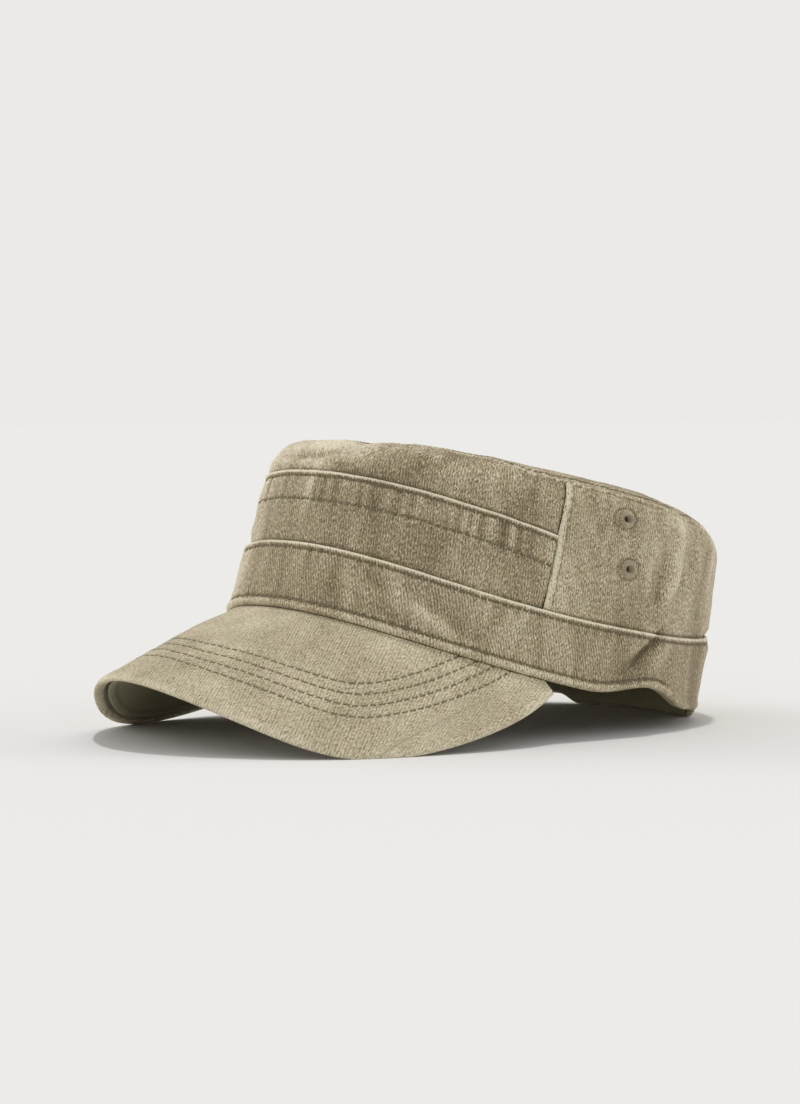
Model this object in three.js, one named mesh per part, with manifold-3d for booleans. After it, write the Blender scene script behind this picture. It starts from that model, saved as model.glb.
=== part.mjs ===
// A flat-top cloth cap with a stitched peak, resting on a floor at z = 0.
// Millimetres, +Z up. The peak points to -Y and the wearer's left is +X.
// The origin is the middle of the cap's footprint on the floor.

import * as THREE from 'three';
import { mergeVertices } from 'three/addons/utils/BufferGeometryUtils.js';
import Module from 'manifold-3d';

// Crown sizes, measured to the inside of its cloth
const head_length = 200.4;
const head_width = 154.1;
const crown_height = 86.2;
const shoulder_height = 16.7;
const side_lift = 5.9;
const back_drop = 3.8;

// Cloth thicknesses, and the clearance between neighbouring pieces
const panel_cloth = 1.2;
const band_cloth = 1.2;
const sweatband_cloth = 1.0;
const gap = 0.3;

// Laps, folds and seams
const band_lap = 8.0;
const tuck_lap = 2.5;
const fold_swell = 0.3;
const fold_depth = 1.2;
const hem_height = 3.5;
const hem_swell = 0.4;
const hem_round = 0.9;
const seam_rib_width = 5.0;
const seam_rib_swell = 0.9;
const sweatband_height = 32.0;
const sweatband_clearance = 0.7;

// Peak sizes: its reach past the crown's front, its drop below the front seam, its flare past the crown's side
const peak_reach = 70.2;
const peak_drop = 56.4;
const peak_flare = 12.0;
const peak_arch = 0.9;
const peak_cloth = 2.0;
const peak_tuck = 1.0;
const peak_end_width = 6.0;
const peak_full_width = 14.0;
const lining_cloth = 1.0;
const rim_radius = 1.9;
const rim_raise = 0.7;

// Eyelets
const eyelet_radius = 3.8;
const eyelet_barrel_radius = 1.9;
const eyelet_hole_radius = 1.0;
const eyelet_rise = 0.9;

// How far the cap's own weight presses its lowest points flat
const floor_press = 0.6;

// Shape ratios of the crown: oval exponent, narrowing to the shoulder, backward lean, roundness of the
// shoulder, and the place of the top seam as a share of the way from the middle to the wall
const oval_exponent = 2.2;
const crown_taper = 0.042;
const crown_lean = 0.118;
const shoulder_exponent = 7.5;
const top_seam_share = 0.951;

// Angles round the crown in degrees, 0 at the front and 90 at the wearer's left
const side_seam_angle = 75.4;
const peak_end_angle = 83.6;
const lift_start_angle = 88.7;
const lift_end_angle = 124.8;
const drop_start_angle = 149.0;
const drop_end_angle = 156.0;

// Heights round the crown as shares of crown_height: mean + front * cos(angle) + sides * cos(2 * angle)
const levels = {
  foot: { mean: 0.1074, front: 0.0930, sides: 0.0502 },
  band_top: { mean: 0.4213, front: 0.0633, sides: 0.0631 },
  second_row: { mean: 0.4781, front: 0.2898, sides: -0.0258 },
  tuck_fold: { mean: 0.6384, front: 0.2484, sides: -0.0145 },
  roof: { mean: 1.0, front: 0.0924, sides: -0.0239 },
};

// Control points of half the peak's rim, from its tip to its side: across as a share of the half width
// with the flare, along as a share of half the crown's length, forward of the reach and down of the drop
const rim_controls = [
  { across: 0.000, along: 1.000, forward: 1.000, down: 0.489 },
  { across: 0.654, along: 1.000, forward: 0.495, down: 0.813 },
  { across: 0.929, along: 1.000, forward: 0.027, down: 1.000 },
  { across: 1.000, along: 0.388, forward: 0.000, down: 0.583 },
];

// Soft dents and folds of the wall. Angle and slope are degrees, the slope rising towards the back. Height,
// half length along the slope, half width across it and push (outward is positive) are shares of crown_height
const dents = [
  { angle: 55, height: 0.270, slope: -29, length: 0.230, width: 0.065, push: -0.015 },
  { angle: 49, height: 0.390, slope: -29, length: 0.200, width: 0.080, push: 0.009 },
  { angle: 104, height: 0.550, slope: 84, length: 0.190, width: 0.055, push: -0.018 },
  { angle: 109, height: 0.600, slope: 84, length: 0.200, width: 0.050, push: 0.014 },
  { angle: 116, height: 0.700, slope: 86, length: 0.210, width: 0.050, push: -0.015 },
  { angle: 101, height: 0.245, slope: 41, length: 0.150, width: 0.042, push: -0.018 },
  { angle: 98, height: 0.320, slope: 38, length: 0.150, width: 0.055, push: 0.014 },
  { angle: 131, height: 0.500, slope: 78, length: 0.260, width: 0.090, push: -0.010 },
  { angle: -5, height: 0.938, slope: 0, length: 0.150, width: 0.026, push: -0.009 },
  { angle: 9, height: 0.978, slope: 9, length: 0.180, width: 0.026, push: -0.008 },
  { angle: -70, height: 0.600, slope: 70, length: 0.220, width: 0.070, push: -0.010 },
  { angle: -118, height: 0.520, slope: 80, length: 0.240, width: 0.070, push: -0.013 },
  { angle: 178, height: 0.560, slope: 10, length: 0.260, width: 0.090, push: -0.012 },
];

// Eyelets on one side: height as a share of crown_height
const eyelet_places = [
  { name: 'upper', angle: 91.0, height: 0.844 },
  { name: 'lower', angle: 93.9, height: 0.618 },
];

// Mesh divisions
const ring_divisions = 78;
const top_divisions = 42;
const peak_divisions = 36;
const eyelet_divisions = 10;
const dent_fade_height = 4.0;

// Sizes that follow from the ones above
const half_length = head_length / 2;
const half_width = head_width / 2;
const shoulder_mean = crown_height - shoulder_height;
const seam_rise = Math.sqrt(1 - top_seam_share ** shoulder_exponent);
const lapped_face = panel_cloth + gap;
const band_face = lapped_face + band_cloth;
const crease_face = lapped_face + panel_cloth;
const lathe_axis = new THREE.Vector3(0, 1, 0);

const radians = THREE.MathUtils.degToRad;
const side_seam = radians(side_seam_angle);
const peak_end = radians(peak_end_angle);

function level(name, angle) {
  const row = levels[name];
  return crown_height * (row.mean + row.front * Math.cos(angle) + row.sides * Math.cos(2 * angle));
}

// The band's lower edge, with the lift behind the peak on the wearer's left and the drop at the back
function foot(angle) {
  const turn = Math.atan2(Math.sin(angle), Math.cos(angle));
  const start = radians(lift_start_angle);
  const end = radians(lift_end_angle);
  const share = THREE.MathUtils.clamp((turn - start) / (end - start), 0, 1);
  const lift = side_lift * Math.sin(Math.PI * share) ** 2;
  const drop = THREE.MathUtils.smoothstep(Math.abs(turn), radians(drop_start_angle), radians(drop_end_angle));
  return level('foot', angle) + lift - back_drop * drop;
}

function shoulder(angle) {
  return level('roof', angle) - shoulder_height;
}

// The height where the wall meets the top panel
function topSeam(angle) {
  return shoulder(angle) + shoulder_height * seam_rise;
}

function signedPower(value, power) {
  return Math.sign(value) * Math.abs(value) ** power;
}

// A point on the crown's inner face at a height
function wallPoint(angle, height) {
  const power = 2 / oval_exponent;
  const start = shoulder(angle);
  const rise = THREE.MathUtils.clamp((height - start) / shoulder_height, 0, 0.999);
  const narrowing = 1 - crown_taper * Math.min(height, start) / shoulder_mean;
  const scale = narrowing * (1 - rise ** 2) ** (1 / shoulder_exponent);
  const x = half_width * signedPower(Math.sin(angle), power) * scale;
  const y = -half_length * signedPower(Math.cos(angle), power) * scale + crown_lean * height;
  return new THREE.Vector3(x, y, height);
}

// A point on the dome's inner face, where share runs from 0 in the middle to 1 at the wall
function domePoint(angle, share) {
  const power = 2 / oval_exponent;
  const start = shoulder(angle);
  const sink = (start - shoulder_mean) * Math.min(share / top_seam_share, 1) ** 2;
  const height = shoulder_mean + sink + shoulder_height * Math.sqrt(1 - share ** shoulder_exponent);
  const scale = share * (1 - crown_taper * start / shoulder_mean);
  const x = half_width * signedPower(Math.sin(angle), power) * scale;
  const y = -half_length * signedPower(Math.cos(angle), power) * scale + crown_lean * height;
  return new THREE.Vector3(x, y, height);
}

// The outward normal of a surface given by a function of two values
function surfaceNormal(surface, first, second, first_step, second_step) {
  const along = surface(first + first_step, second).sub(surface(first - first_step, second));
  const across = surface(first, second + second_step).sub(surface(first, second - second_step));
  return along.cross(across).normalize();
}

function wallNormal(angle, height) {
  return surfaceNormal(wallPoint, angle, height, 0.002, 0.2);
}

function arcLengthPerRadian(angle, height) {
  const step = 0.002;
  return wallPoint(angle + step, height).distanceTo(wallPoint(angle - step, height)) / (2 * step);
}

// How far the dents push the wall outward. They fade away at the hem
function dentPush(angle, height) {
  const middle = (half_length + half_width) / 2;
  let push = 0;
  for (const dent of dents) {
    const turn = angle - radians(dent.angle);
    const across = Math.atan2(Math.sin(turn), Math.cos(turn)) * middle;
    const rise = height - dent.height * crown_height;
    const slope = radians(dent.slope);
    const along = (across * Math.cos(slope) + rise * Math.sin(slope)) / (dent.length * crown_height);
    const aside = (rise * Math.cos(slope) - across * Math.sin(slope)) / (dent.width * crown_height);
    push += dent.push * crown_height * Math.exp(-(along ** 2) - aside ** 2);
  }
  const hem_top = foot(angle) + hem_height;
  return push * THREE.MathUtils.smoothstep(height, hem_top, hem_top + dent_fade_height);
}

// A point off the crown's inner face, moved with the dents
function clothPoint(angle, height, out) {
  const normal = wallNormal(angle, height);
  return wallPoint(angle, height).addScaledVector(normal, out + dentPush(angle, height));
}

function topPoint(angle, share, out) {
  const place = Math.max(share, 0.02);
  const normal = surfaceNormal(domePoint, angle, place, 0.002, 0.001);
  normal.multiplyScalar(Math.sign(normal.z));
  return domePoint(angle, share).addScaledVector(normal, out);
}

// Angles that divide the oval into equal lengths
function ringAngles(divisions) {
  const samples = 1440;
  const lengths = [0];
  for (let i = 1; i <= samples; i += 1) {
    const before = wallPoint((i - 1) * 2 * Math.PI / samples, 0);
    const after = wallPoint(i * 2 * Math.PI / samples, 0);
    lengths.push(lengths[i - 1] + before.distanceTo(after));
  }
  const angles = [];
  let i = 0;
  for (let k = 0; k < divisions; k += 1) {
    const wanted = lengths[samples] * k / divisions;
    while (lengths[i + 1] <= wanted) {
      i += 1;
    }
    const share = (wanted - lengths[i]) / (lengths[i + 1] - lengths[i]);
    angles.push((i + share) * 2 * Math.PI / samples);
  }
  return angles;
}

const ring = ringAngles(ring_divisions);

// The ring's angles between two seams, with the seams themselves at the ends
function anglesBetween(start, end) {
  const spacing = 2 * Math.PI / ring_divisions;
  const turns = [...ring.map((angle) => angle - 2 * Math.PI), ...ring];
  const inside = turns.filter((angle) => angle > start + spacing / 3 && angle < end - spacing / 3);
  return [start, ...inside, end];
}

// A closed body lofted through sections. Each section is a loop of points with a flat outline, whose x runs
// along the cloth. Both faces of a cloth take the same diagonals, so that laid cloths stay parallel. The
// outline also triangulates the caps, and a ring joins its last section to its first
function loft(sections, outline, closed) {
  const count = sections[0].length;
  const points = sections.flat();
  const faces = [];
  const last = closed ? sections.length : sections.length - 1;
  const loop = outline(0);
  for (let i = 0; i < last; i += 1) {
    const here = i * count;
    const next = ((i + 1) % sections.length) * count;
    for (let j = 0; j < count; j += 1) {
      const k = (j + 1) % count;
      if (loop[k].x >= loop[j].x) {
        faces.push([here + j, next + j, next + k], [here + j, next + k, here + k]);
      } else {
        faces.push([here + j, next + j, here + k], [next + j, next + k, here + k]);
      }
    }
  }
  if (!closed) {
    const end = (sections.length - 1) * count;
    faces.push(...capFaces(outline(0), 0, false));
    faces.push(...capFaces(outline(sections.length - 1), end, true));
  }
  return { points, faces };
}

// The triangles that close a loop, running with its direction or against it
function capFaces(outline, base, against) {
  const loop_runs_left = THREE.ShapeUtils.area(outline) > 0;
  return THREE.ShapeUtils.triangulateShape(outline, []).map(([a, b, c]) => {
    const face_runs_left = THREE.ShapeUtils.area([outline[a], outline[b], outline[c]]) > 0;
    const turned = (loop_runs_left === face_runs_left) === against;
    return (turned ? [c, b, a] : [a, b, c]).map((index) => index + base);
  });
}

// A body of the crown: section(angle) lists its loop as pairs of height and distance outward
function crownBody(angles, section, closed) {
  const sections = angles.map((angle) => section(angle).map(([height, out]) => clothPoint(angle, height, out)));
  const outline = (i) => section(angles[i]).map(([height, out]) => new THREE.Vector2(height, out));
  return loft(sections, outline, closed);
}

// Both faces of a cloth through rows of [height, inner distance, outer distance], bottom row first
function clothLoop(rows) {
  const outside = rows.map(([height, , outer]) => [height, outer]);
  const inside = rows.map(([height, inner]) => [height, inner]).reverse();
  return [...outside, ...inside];
}

// Rows over the shoulder, from its start up to the top seam
function shoulderRows(angle, inner, outer) {
  return [0, 0.36, 0.68, 1].map((share) => [
    shoulder(angle) + (topSeam(angle) - shoulder(angle)) * share,
    inner,
    outer,
  ]);
}

// Rows of a panel where the band laps over it
function lappedRows(band_top) {
  return [band_lap, band_lap / 2, 0].map((depth) => [band_top - depth, 0, panel_cloth]);
}

function between(low, high, share) {
  return low + (high - low) * share;
}

// The upper front cloth runs from the top seam down behind the lower one
function frontUpperSection(angle) {
  const low = level('second_row', angle) - tuck_lap;
  const fold = level('tuck_fold', angle);
  return clothLoop([
    [low, 0, panel_cloth],
    [between(low, fold, 0.5), 0, panel_cloth],
    [fold, 0, panel_cloth],
    ...shoulderRows(angle, 0, panel_cloth),
  ]);
}

// The lower front cloth rises from under the band and laps over the upper one, ending in a folded edge
function frontLowerSection(angle) {
  const band_top = level('band_top', angle);
  const low = level('second_row', angle) - tuck_lap;
  const fold = level('tuck_fold', angle);
  const clear = low - 2 * gap;
  return clothLoop([
    ...lappedRows(band_top),
    [between(band_top, clear, 0.5), lapped_face / 2, panel_cloth + lapped_face / 2],
    [clear, lapped_face, crease_face],
    [between(low, fold, 0.5), lapped_face, crease_face],
    [fold - fold_depth, lapped_face, crease_face + fold_swell],
    [fold, lapped_face + panel_cloth / 3, crease_face - panel_cloth / 3],
  ]);
}

// The rear cloth, thickened into a rib beside the side seams where its edge is folded under
function rearSection(angle) {
  const band_top = level('band_top', angle);
  const start = shoulder(angle);
  const from_seam = seamDistance(angle);
  const rib = seam_rib_swell * (1 - THREE.MathUtils.smoothstep(from_seam, seam_rib_width, seam_rib_width * 1.3));
  const full = panel_cloth + rib;
  return clothLoop([
    ...lappedRows(band_top),
    [band_top + 2 * fold_depth, 0, full],
    [between(band_top, start, 0.4), 0, full],
    [between(band_top, start, 0.7), 0, full],
    ...shoulderRows(angle, 0, full),
  ]);
}

// The distance round the wall from the nearer side seam
function seamDistance(angle) {
  const turn = Math.abs(Math.atan2(Math.sin(angle), Math.cos(angle)));
  const halfway = (side_seam + turn) / 2;
  return (turn - side_seam) * arcLengthPerRadian(halfway, level('band_top', angle));
}

// The band: a rolled hem at its foot, and a folded top edge that laps over the panels
function bandSection(angle) {
  const low = foot(angle);
  const high = level('band_top', angle);
  const hem_top = low + hem_height;
  const hem_face = band_face + hem_swell;
  const outside = [
    [low, band_face - hem_round / 2],
    [low + hem_round, hem_face],
    [hem_top - hem_swell, hem_face],
    [hem_top + hem_swell, band_face],
    [between(hem_top, high, 0.35), band_face],
    [between(hem_top, high, 0.65), band_face],
    [high - 2 * fold_depth, band_face],
    [high - fold_depth, band_face + fold_swell],
    [high, band_face - band_cloth / 3],
  ];
  const inside = [
    [high, lapped_face + band_cloth / 4],
    [high - band_lap / 2, lapped_face],
    [high - band_lap, lapped_face],
    [between(hem_top, high, 0.35), lapped_face],
    [hem_top + hem_round, lapped_face],
    [hem_top, 0],
    [low + hem_round, 0],
    [low, hem_round],
  ];
  return [...outside, ...inside];
}

// The sweatband lines the crown's foot
function sweatbandSection(angle) {
  const low = foot(angle) + 2 * gap;
  const outer = -sweatband_clearance;
  const inner = outer - sweatband_cloth;
  const heights = [low, level('band_top', angle) - band_lap, low + sweatband_height - band_lap, low + sweatband_height];
  return clothLoop(heights.map((height) => [height, inner, outer]));
}

// A point on the peak's rim, where side runs from -1 at the wearer's right to 1 at the left
function rimPoint(side) {
  const end_height = foot(peak_end);
  const end = wallPoint(peak_end, end_height).addScaledVector(wallNormal(peak_end, end_height), seam_face);
  const half = rim_controls.map((row) => new THREE.Vector3(
    row.across * (half_width + peak_flare),
    -(row.along * half_length + row.forward * peak_reach),
    foot(0) - row.down * peak_drop,
  ));
  half.push(end);
  const mirrored = half.slice(1).reverse().map((point) => new THREE.Vector3(-point.x, point.y, point.z));
  return splinePoint([...mirrored, ...half], (side + 1) / 2);
}

// Where the peak's upper face meets the crown, as a distance out from the crown's inner face
const seam_face = panel_cloth + 2 * gap;

// A uniform cubic spline that starts at its first control point and ends at its last
function splinePoint(controls, share) {
  const spans = controls.length - 1;
  const before = controls[0].clone().multiplyScalar(2).sub(controls[1]);
  const after = controls[spans].clone().multiplyScalar(2).sub(controls[spans - 1]);
  const all = [before, ...controls, after];
  const place = share * spans;
  const i = Math.min(Math.max(Math.floor(place), 0), spans - 1);
  const f = place - i;
  const weights = [(1 - f) ** 3, 3 * f ** 3 - 6 * f ** 2 + 4, -3 * f ** 3 + 3 * f ** 2 + 3 * f + 1, f ** 3];
  const point = new THREE.Vector3();
  weights.forEach((weight, k) => point.addScaledVector(all[i + k], weight / 6));
  return point;
}

// The crown seam of the peak, just below the band's hem
function peakSeam(side) {
  const angle = side * peak_end;
  const height = foot(angle) - gap;
  return wallPoint(angle, height).addScaledVector(wallNormal(angle, height), seam_face);
}

function peakWidth(side) {
  return peakSeam(side).distanceTo(rimPoint(side));
}

// A point on the peak's upper face, where share runs from 0 at the crown seam to 1 at the rim
function peakSurface(side, share) {
  const point = peakSeam(side).lerp(rimPoint(side), share);
  const fullness = Math.min(1, peakWidth(side) / (peak_reach * 0.7));
  point.z += peak_arch * 4 * share * (1 - share) * fullness;
  return point;
}

// A point off the peak's upper face: distance from the crown seam, and distance up from the face
function peakPoint(side, distance, rise) {
  const width = peakWidth(side);
  const share = Math.max(distance / width, 0);
  const normal = surfaceNormal(peakSurface, side, share, 0.002, 0.002);
  normal.multiplyScalar(Math.sign(normal.z));
  const point = peakSurface(side, share);
  if (distance < 0) {
    const angle = side * peak_end;
    const outward = wallNormal(angle, foot(angle)).setZ(0).normalize();
    point.addScaledVector(outward, distance);
  }
  return point.addScaledVector(normal, rise);
}

// Where the peak has narrowed to a width, as a share of the way from its middle to its side
function sideOfWidth(width) {
  let wide = 0.5;
  let narrow = 1;
  for (let i = 0; i < 40; i += 1) {
    const middle = (wide + narrow) / 2;
    if (peakWidth(middle) > width) {
      wide = middle;
    } else {
      narrow = middle;
    }
  }
  return wide;
}

const peak_limit = sideOfWidth(peak_end_width);
const lining_limit = sideOfWidth(peak_full_width);
const peak_sides = [];
for (let i = 0; i <= peak_divisions; i += 1) {
  peak_sides.push(between(-peak_limit, peak_limit, i / peak_divisions));
}

// How much of its full thickness the peak has: it thins where it narrows to its ends
function peakFullness(side) {
  return between(0.55, 1, Math.min(1, peakWidth(side) / peak_full_width));
}

// The distances from the crown seam that the cover and the lining share as rows
function peakRows(side) {
  const fullness = peakFullness(side);
  const start = -peak_tuck * fullness;
  const end = peakWidth(side) - 2.4 * rim_radius * fullness;
  return [start, ...[0, 0.3, 0.62, 0.9, 1].map((share) => end * share)];
}

// The peak's cover and board as a loop of pairs: distance from the seam, distance up from the upper face
function peakCoverSection(side) {
  const fullness = peakFullness(side);
  const radius = rim_radius * fullness;
  const centre = peakWidth(side) - radius;
  const middle = rim_raise * fullness - radius;
  const top = peakRows(side).map((distance) => [distance, 0]);
  const roll = [112, 66, 22, -22, -66, -112].map((turn) => [
    centre + radius * Math.cos(radians(turn)),
    middle + radius * Math.sin(radians(turn)),
  ]);
  const under = peakRows(side).map((distance) => [distance, -peak_cloth * fullness]).reverse();
  return [...top, ...roll, ...under];
}

function peakLiningSection(side) {
  const upper = -peak_cloth - gap;
  const rows = peakRows(side);
  const first = rows[0] + gap;
  const last = rows[rows.length - 1] - gap;
  const distances = [first, ...rows.slice(1, -1), last];
  const top = distances.map((distance) => [distance, upper]);
  const under = distances.map((distance) => [distance, upper - lining_cloth]).reverse();
  return [...top, ...under];
}

function peakBody(sides, section) {
  const sections = sides.map((side) => section(side).map(([distance, rise]) => peakPoint(side, distance, rise)));
  const outline = (i) => section(sides[i]).map(([distance, rise]) => new THREE.Vector2(distance, rise));
  return loft(sections, outline, false);
}

// The top panel: rings of points inside the top seam, on both faces, closed round its edge
function topPanelBody() {
  const edge = top_seam_share - gap / half_width * 0.75;
  const shares = [1, 0.98, 0.9, 0.7, 0.38].map((share) => share * edge);
  const angles = ringAngles(top_divisions);
  const faces = [];
  const points = [];
  for (const out of [panel_cloth, 0]) {
    for (const share of shares) {
      points.push(...angles.map((angle) => topPoint(angle, share, out)));
    }
    points.push(domePoint(0, 0).add(new THREE.Vector3(0, 0, out)));
  }
  const count = angles.length;
  const face_points = shares.length * count + 1;
  for (let side = 0; side < 2; side += 1) {
    const base = side * face_points;
    for (let j = 0; j < count; j += 1) {
      const k = (j + 1) % count;
      for (let i = 0; i + 1 < shares.length; i += 1) {
        const here = base + i * count;
        const next = here + count;
        addQuad(faces, [here + j, here + k, next + k, next + j], side === 1);
      }
      const last = base + (shares.length - 1) * count;
      addFace(faces, [last + j, last + k, base + face_points - 1], side === 1);
    }
  }
  for (let j = 0; j < count; j += 1) {
    const k = (j + 1) % count;
    addQuad(faces, [face_points + j, face_points + k, k, j], false);
  }
  return { points, faces };
}

function addFace(faces, [a, b, c], turned) {
  faces.push(turned ? [c, b, a] : [a, b, c]);
}

function addQuad(faces, [a, b, c, d], turned) {
  addFace(faces, [a, b, c], turned);
  addFace(faces, [a, c, d], turned);
}

// All cloth bodies, upright and before the cap is set down
const front_start = -side_seam + seamStep();
const front_angles = anglesBetween(front_start, -front_start);
const rear_angles = anglesBetween(side_seam + seamStep(), 2 * Math.PI - side_seam - seamStep());
const bodies = {
  top_panel: topPanelBody(),
  front_upper_panel: crownBody(front_angles, frontUpperSection, false),
  front_lower_panel: crownBody(front_angles, frontLowerSection, false),
  rear_panel: crownBody(rear_angles, rearSection, false),
  band: crownBody(ring, bandSection, true),
  sweatband: crownBody(ring, sweatbandSection, true),
  peak_cover: peakBody(peak_sides, peakCoverSection),
  peak_lining: peakBody(peak_sides.filter((side) => Math.abs(side) < lining_limit), peakLiningSection),
};

// Half the clearance of the side seam, as an angle
function seamStep() {
  return gap / 2 / arcLengthPerRadian(side_seam, level('band_top', side_seam));
}

// The height of a body's lowest point once the cap leans back by an angle
function lowestPoint(body, lean) {
  const heights = body.points.map((point) => point.z * Math.cos(lean) - point.y * Math.sin(lean));
  return Math.min(...heights);
}

// The lean at which the peak's corners and the band's back touch the floor together
function restingLean() {
  let low = -0.5;
  let high = 0.8;
  for (let i = 0; i < 50; i += 1) {
    const middle = (low + high) / 2;
    if (lowestPoint(bodies.peak_cover, middle) < lowestPoint(bodies.band, middle)) {
      low = middle;
    } else {
      high = middle;
    }
  }
  return low;
}

const lean = restingLean();
const lift = -lowestPoint(bodies.band, lean) - floor_press;

// A point of the upright cap where it lies once the cap rests, pressed flat on the floor
function settled(point) {
  const placed = point.clone().applyAxisAngle(new THREE.Vector3(1, 0, 0), -lean);
  placed.z = Math.max(placed.z + lift, 0);
  return placed;
}

// A closed geometry that faces outward
function solidGeometry({ points, faces }) {
  const placed = points.map(settled);
  let volume = 0;
  for (const [a, b, c] of faces) {
    volume += placed[a].dot(placed[b].clone().cross(placed[c]));
  }
  const indices = faces.flatMap(([a, b, c]) => (volume > 0 ? [a, b, c] : [a, c, b]));
  const geometry = new THREE.BufferGeometry();
  geometry.setAttribute('position', new THREE.Float32BufferAttribute(placed.flatMap((point) => point.toArray()), 3));
  geometry.setIndex(indices);
  return geometry;
}

function fabric(colour, roughness) {
  return new THREE.MeshStandardMaterial({ color: colour, roughness, metalness: 0 });
}

const crown_fabric = fabric(0xa49a80, 0.95);
const peak_fabric = fabric(0xb2aa8e, 0.95);
const lining_fabric = fabric(0x5c5c4a, 0.98);
const thread_fabric = fabric(0xb4aa8c, 0.9);
const fabrics = {
  top_panel: crown_fabric,
  front_upper_panel: crown_fabric,
  front_lower_panel: crown_fabric,
  rear_panel: crown_fabric,
  band: crown_fabric,
  sweatband: lining_fabric,
  peak_cover: peak_fabric,
  peak_lining: lining_fabric,
};

const cap = new THREE.Group();
cap.name = 'cap';
for (const [name, body] of Object.entries(bodies)) {
  const mesh = new THREE.Mesh(solidGeometry(body), fabrics[name]);
  mesh.name = name;
  cap.add(mesh);
}

// Where an eyelet sits: a point on the wall's inner face, and a turn that takes +Y to the outward normal
function eyeletSeat(place, side) {
  const angle = side * radians(place.angle);
  const height = place.height * crown_height;
  const inner = settled(clothPoint(angle, height, 0));
  const outer = settled(clothPoint(angle, height, panel_cloth));
  const outward = outer.sub(inner).normalize();
  return { position: inner, quaternion: new THREE.Quaternion().setFromUnitVectors(lathe_axis, outward) };
}

// A stitched eyelet: a barrel through the cloth and a rounded flange on its outside
function eyeletGeometry() {
  const face = panel_cloth + gap;
  const profile = [
    [eyelet_hole_radius, 0],
    [eyelet_barrel_radius, 0],
    [eyelet_barrel_radius, face],
    [eyelet_radius - eyelet_rise / 3, face],
    [eyelet_radius, face + eyelet_rise / 3],
    [eyelet_radius - eyelet_rise / 2, face + eyelet_rise],
    [eyelet_barrel_radius, face + eyelet_rise],
    [eyelet_hole_radius, face],
    [eyelet_hole_radius, 0],
  ];
  const points = profile.map(([radius, height]) => new THREE.Vector2(radius, height));
  return closedGeometry(new THREE.LatheGeometry(points, eyelet_divisions));
}

// A geometry with its shared vertices merged and its faces turned outward
function closedGeometry(source) {
  source.deleteAttribute('normal');
  source.deleteAttribute('uv');
  const geometry = mergeVertices(source, 1e-4);
  const position = geometry.getAttribute('position');
  const index = geometry.getIndex();
  const corner = (i) => new THREE.Vector3().fromBufferAttribute(position, index.getX(i));
  let volume = 0;
  const kept = [];
  for (let i = 0; i < index.count; i += 3) {
    const triangle = [index.getX(i), index.getX(i + 1), index.getX(i + 2)];
    if (new Set(triangle).size === 3) {
      volume += corner(i).dot(corner(i + 1).cross(corner(i + 2)));
      kept.push(triangle);
    }
  }
  geometry.setIndex(kept.flatMap(([a, b, c]) => (volume > 0 ? [a, b, c] : [a, c, b])));
  return geometry;
}

const wasm = await Module();
wasm.setup();

function toSolid(geometry) {
  return new wasm.Manifold(new wasm.Mesh({
    numProp: 3,
    vertProperties: new Float32Array(geometry.getAttribute('position').array),
    triVerts: new Uint32Array(geometry.getIndex().array),
  }));
}

function fromSolid(solid) {
  const mesh = solid.getMesh();
  const geometry = new THREE.BufferGeometry();
  geometry.setAttribute('position', new THREE.Float32BufferAttribute(mesh.vertProperties, 3));
  geometry.setIndex(Array.from(mesh.triVerts));
  return geometry;
}

// Eyelets on both sides, and the holes that they sit in
const rear_panel = cap.getObjectByName('rear_panel');
let pierced = toSolid(rear_panel.geometry);
for (const [side_name, side] of [['left', 1], ['right', -1]]) {
  for (const place of eyelet_places) {
    const { position, quaternion } = eyeletSeat(place, side);
    const eyelet = new THREE.Mesh(eyeletGeometry(), thread_fabric);
    eyelet.name = `eyelet_${side_name}_${place.name}`;
    eyelet.position.copy(position);
    eyelet.quaternion.copy(quaternion);
    cap.add(eyelet);
    const hole_length = 8 * panel_cloth;
    const radius = eyelet_barrel_radius + gap;
    const drill = closedGeometry(new THREE.CylinderGeometry(radius, radius, hole_length, eyelet_divisions));
    drill.applyQuaternion(quaternion);
    drill.translate(...position.toArray());
    pierced = pierced.subtract(toSolid(drill));
  }
}
rear_panel.geometry = fromSolid(pierced);

// The origin is the middle of the resting cap's box, on the floor
const box = new THREE.Box3().setFromObject(cap, true);
const middle = box.getCenter(new THREE.Vector3());
cap.position.set(-middle.x, -middle.y, 0);
cap.updateMatrixWorld(true);

export default cap;
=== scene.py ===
"""The looks of a washed cotton cap with a flat top and a stitched peak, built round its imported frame.

Shapes are worked out in millimetres on the upright cap, and then set down on the floor as the frame lies.
"""

import bpy
import numpy as np
from mathutils import Matrix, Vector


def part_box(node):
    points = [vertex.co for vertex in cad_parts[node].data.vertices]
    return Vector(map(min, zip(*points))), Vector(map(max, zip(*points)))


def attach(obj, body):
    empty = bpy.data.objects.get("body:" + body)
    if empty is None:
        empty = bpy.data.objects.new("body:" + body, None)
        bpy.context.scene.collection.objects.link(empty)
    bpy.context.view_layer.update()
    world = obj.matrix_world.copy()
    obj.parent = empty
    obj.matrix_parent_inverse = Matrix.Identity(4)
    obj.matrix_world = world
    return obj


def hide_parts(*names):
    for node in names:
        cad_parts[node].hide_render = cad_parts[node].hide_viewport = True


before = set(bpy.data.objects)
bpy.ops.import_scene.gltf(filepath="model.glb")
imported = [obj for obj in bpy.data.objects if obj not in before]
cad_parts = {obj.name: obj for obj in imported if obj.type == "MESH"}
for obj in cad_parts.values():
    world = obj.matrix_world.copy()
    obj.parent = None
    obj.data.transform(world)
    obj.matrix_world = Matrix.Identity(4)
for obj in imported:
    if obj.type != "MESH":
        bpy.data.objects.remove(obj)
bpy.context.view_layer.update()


def table(columns, *rows):
    """Rows of values with named columns."""
    return [dict(zip(columns.split(), row)) for row in rows]


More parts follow.
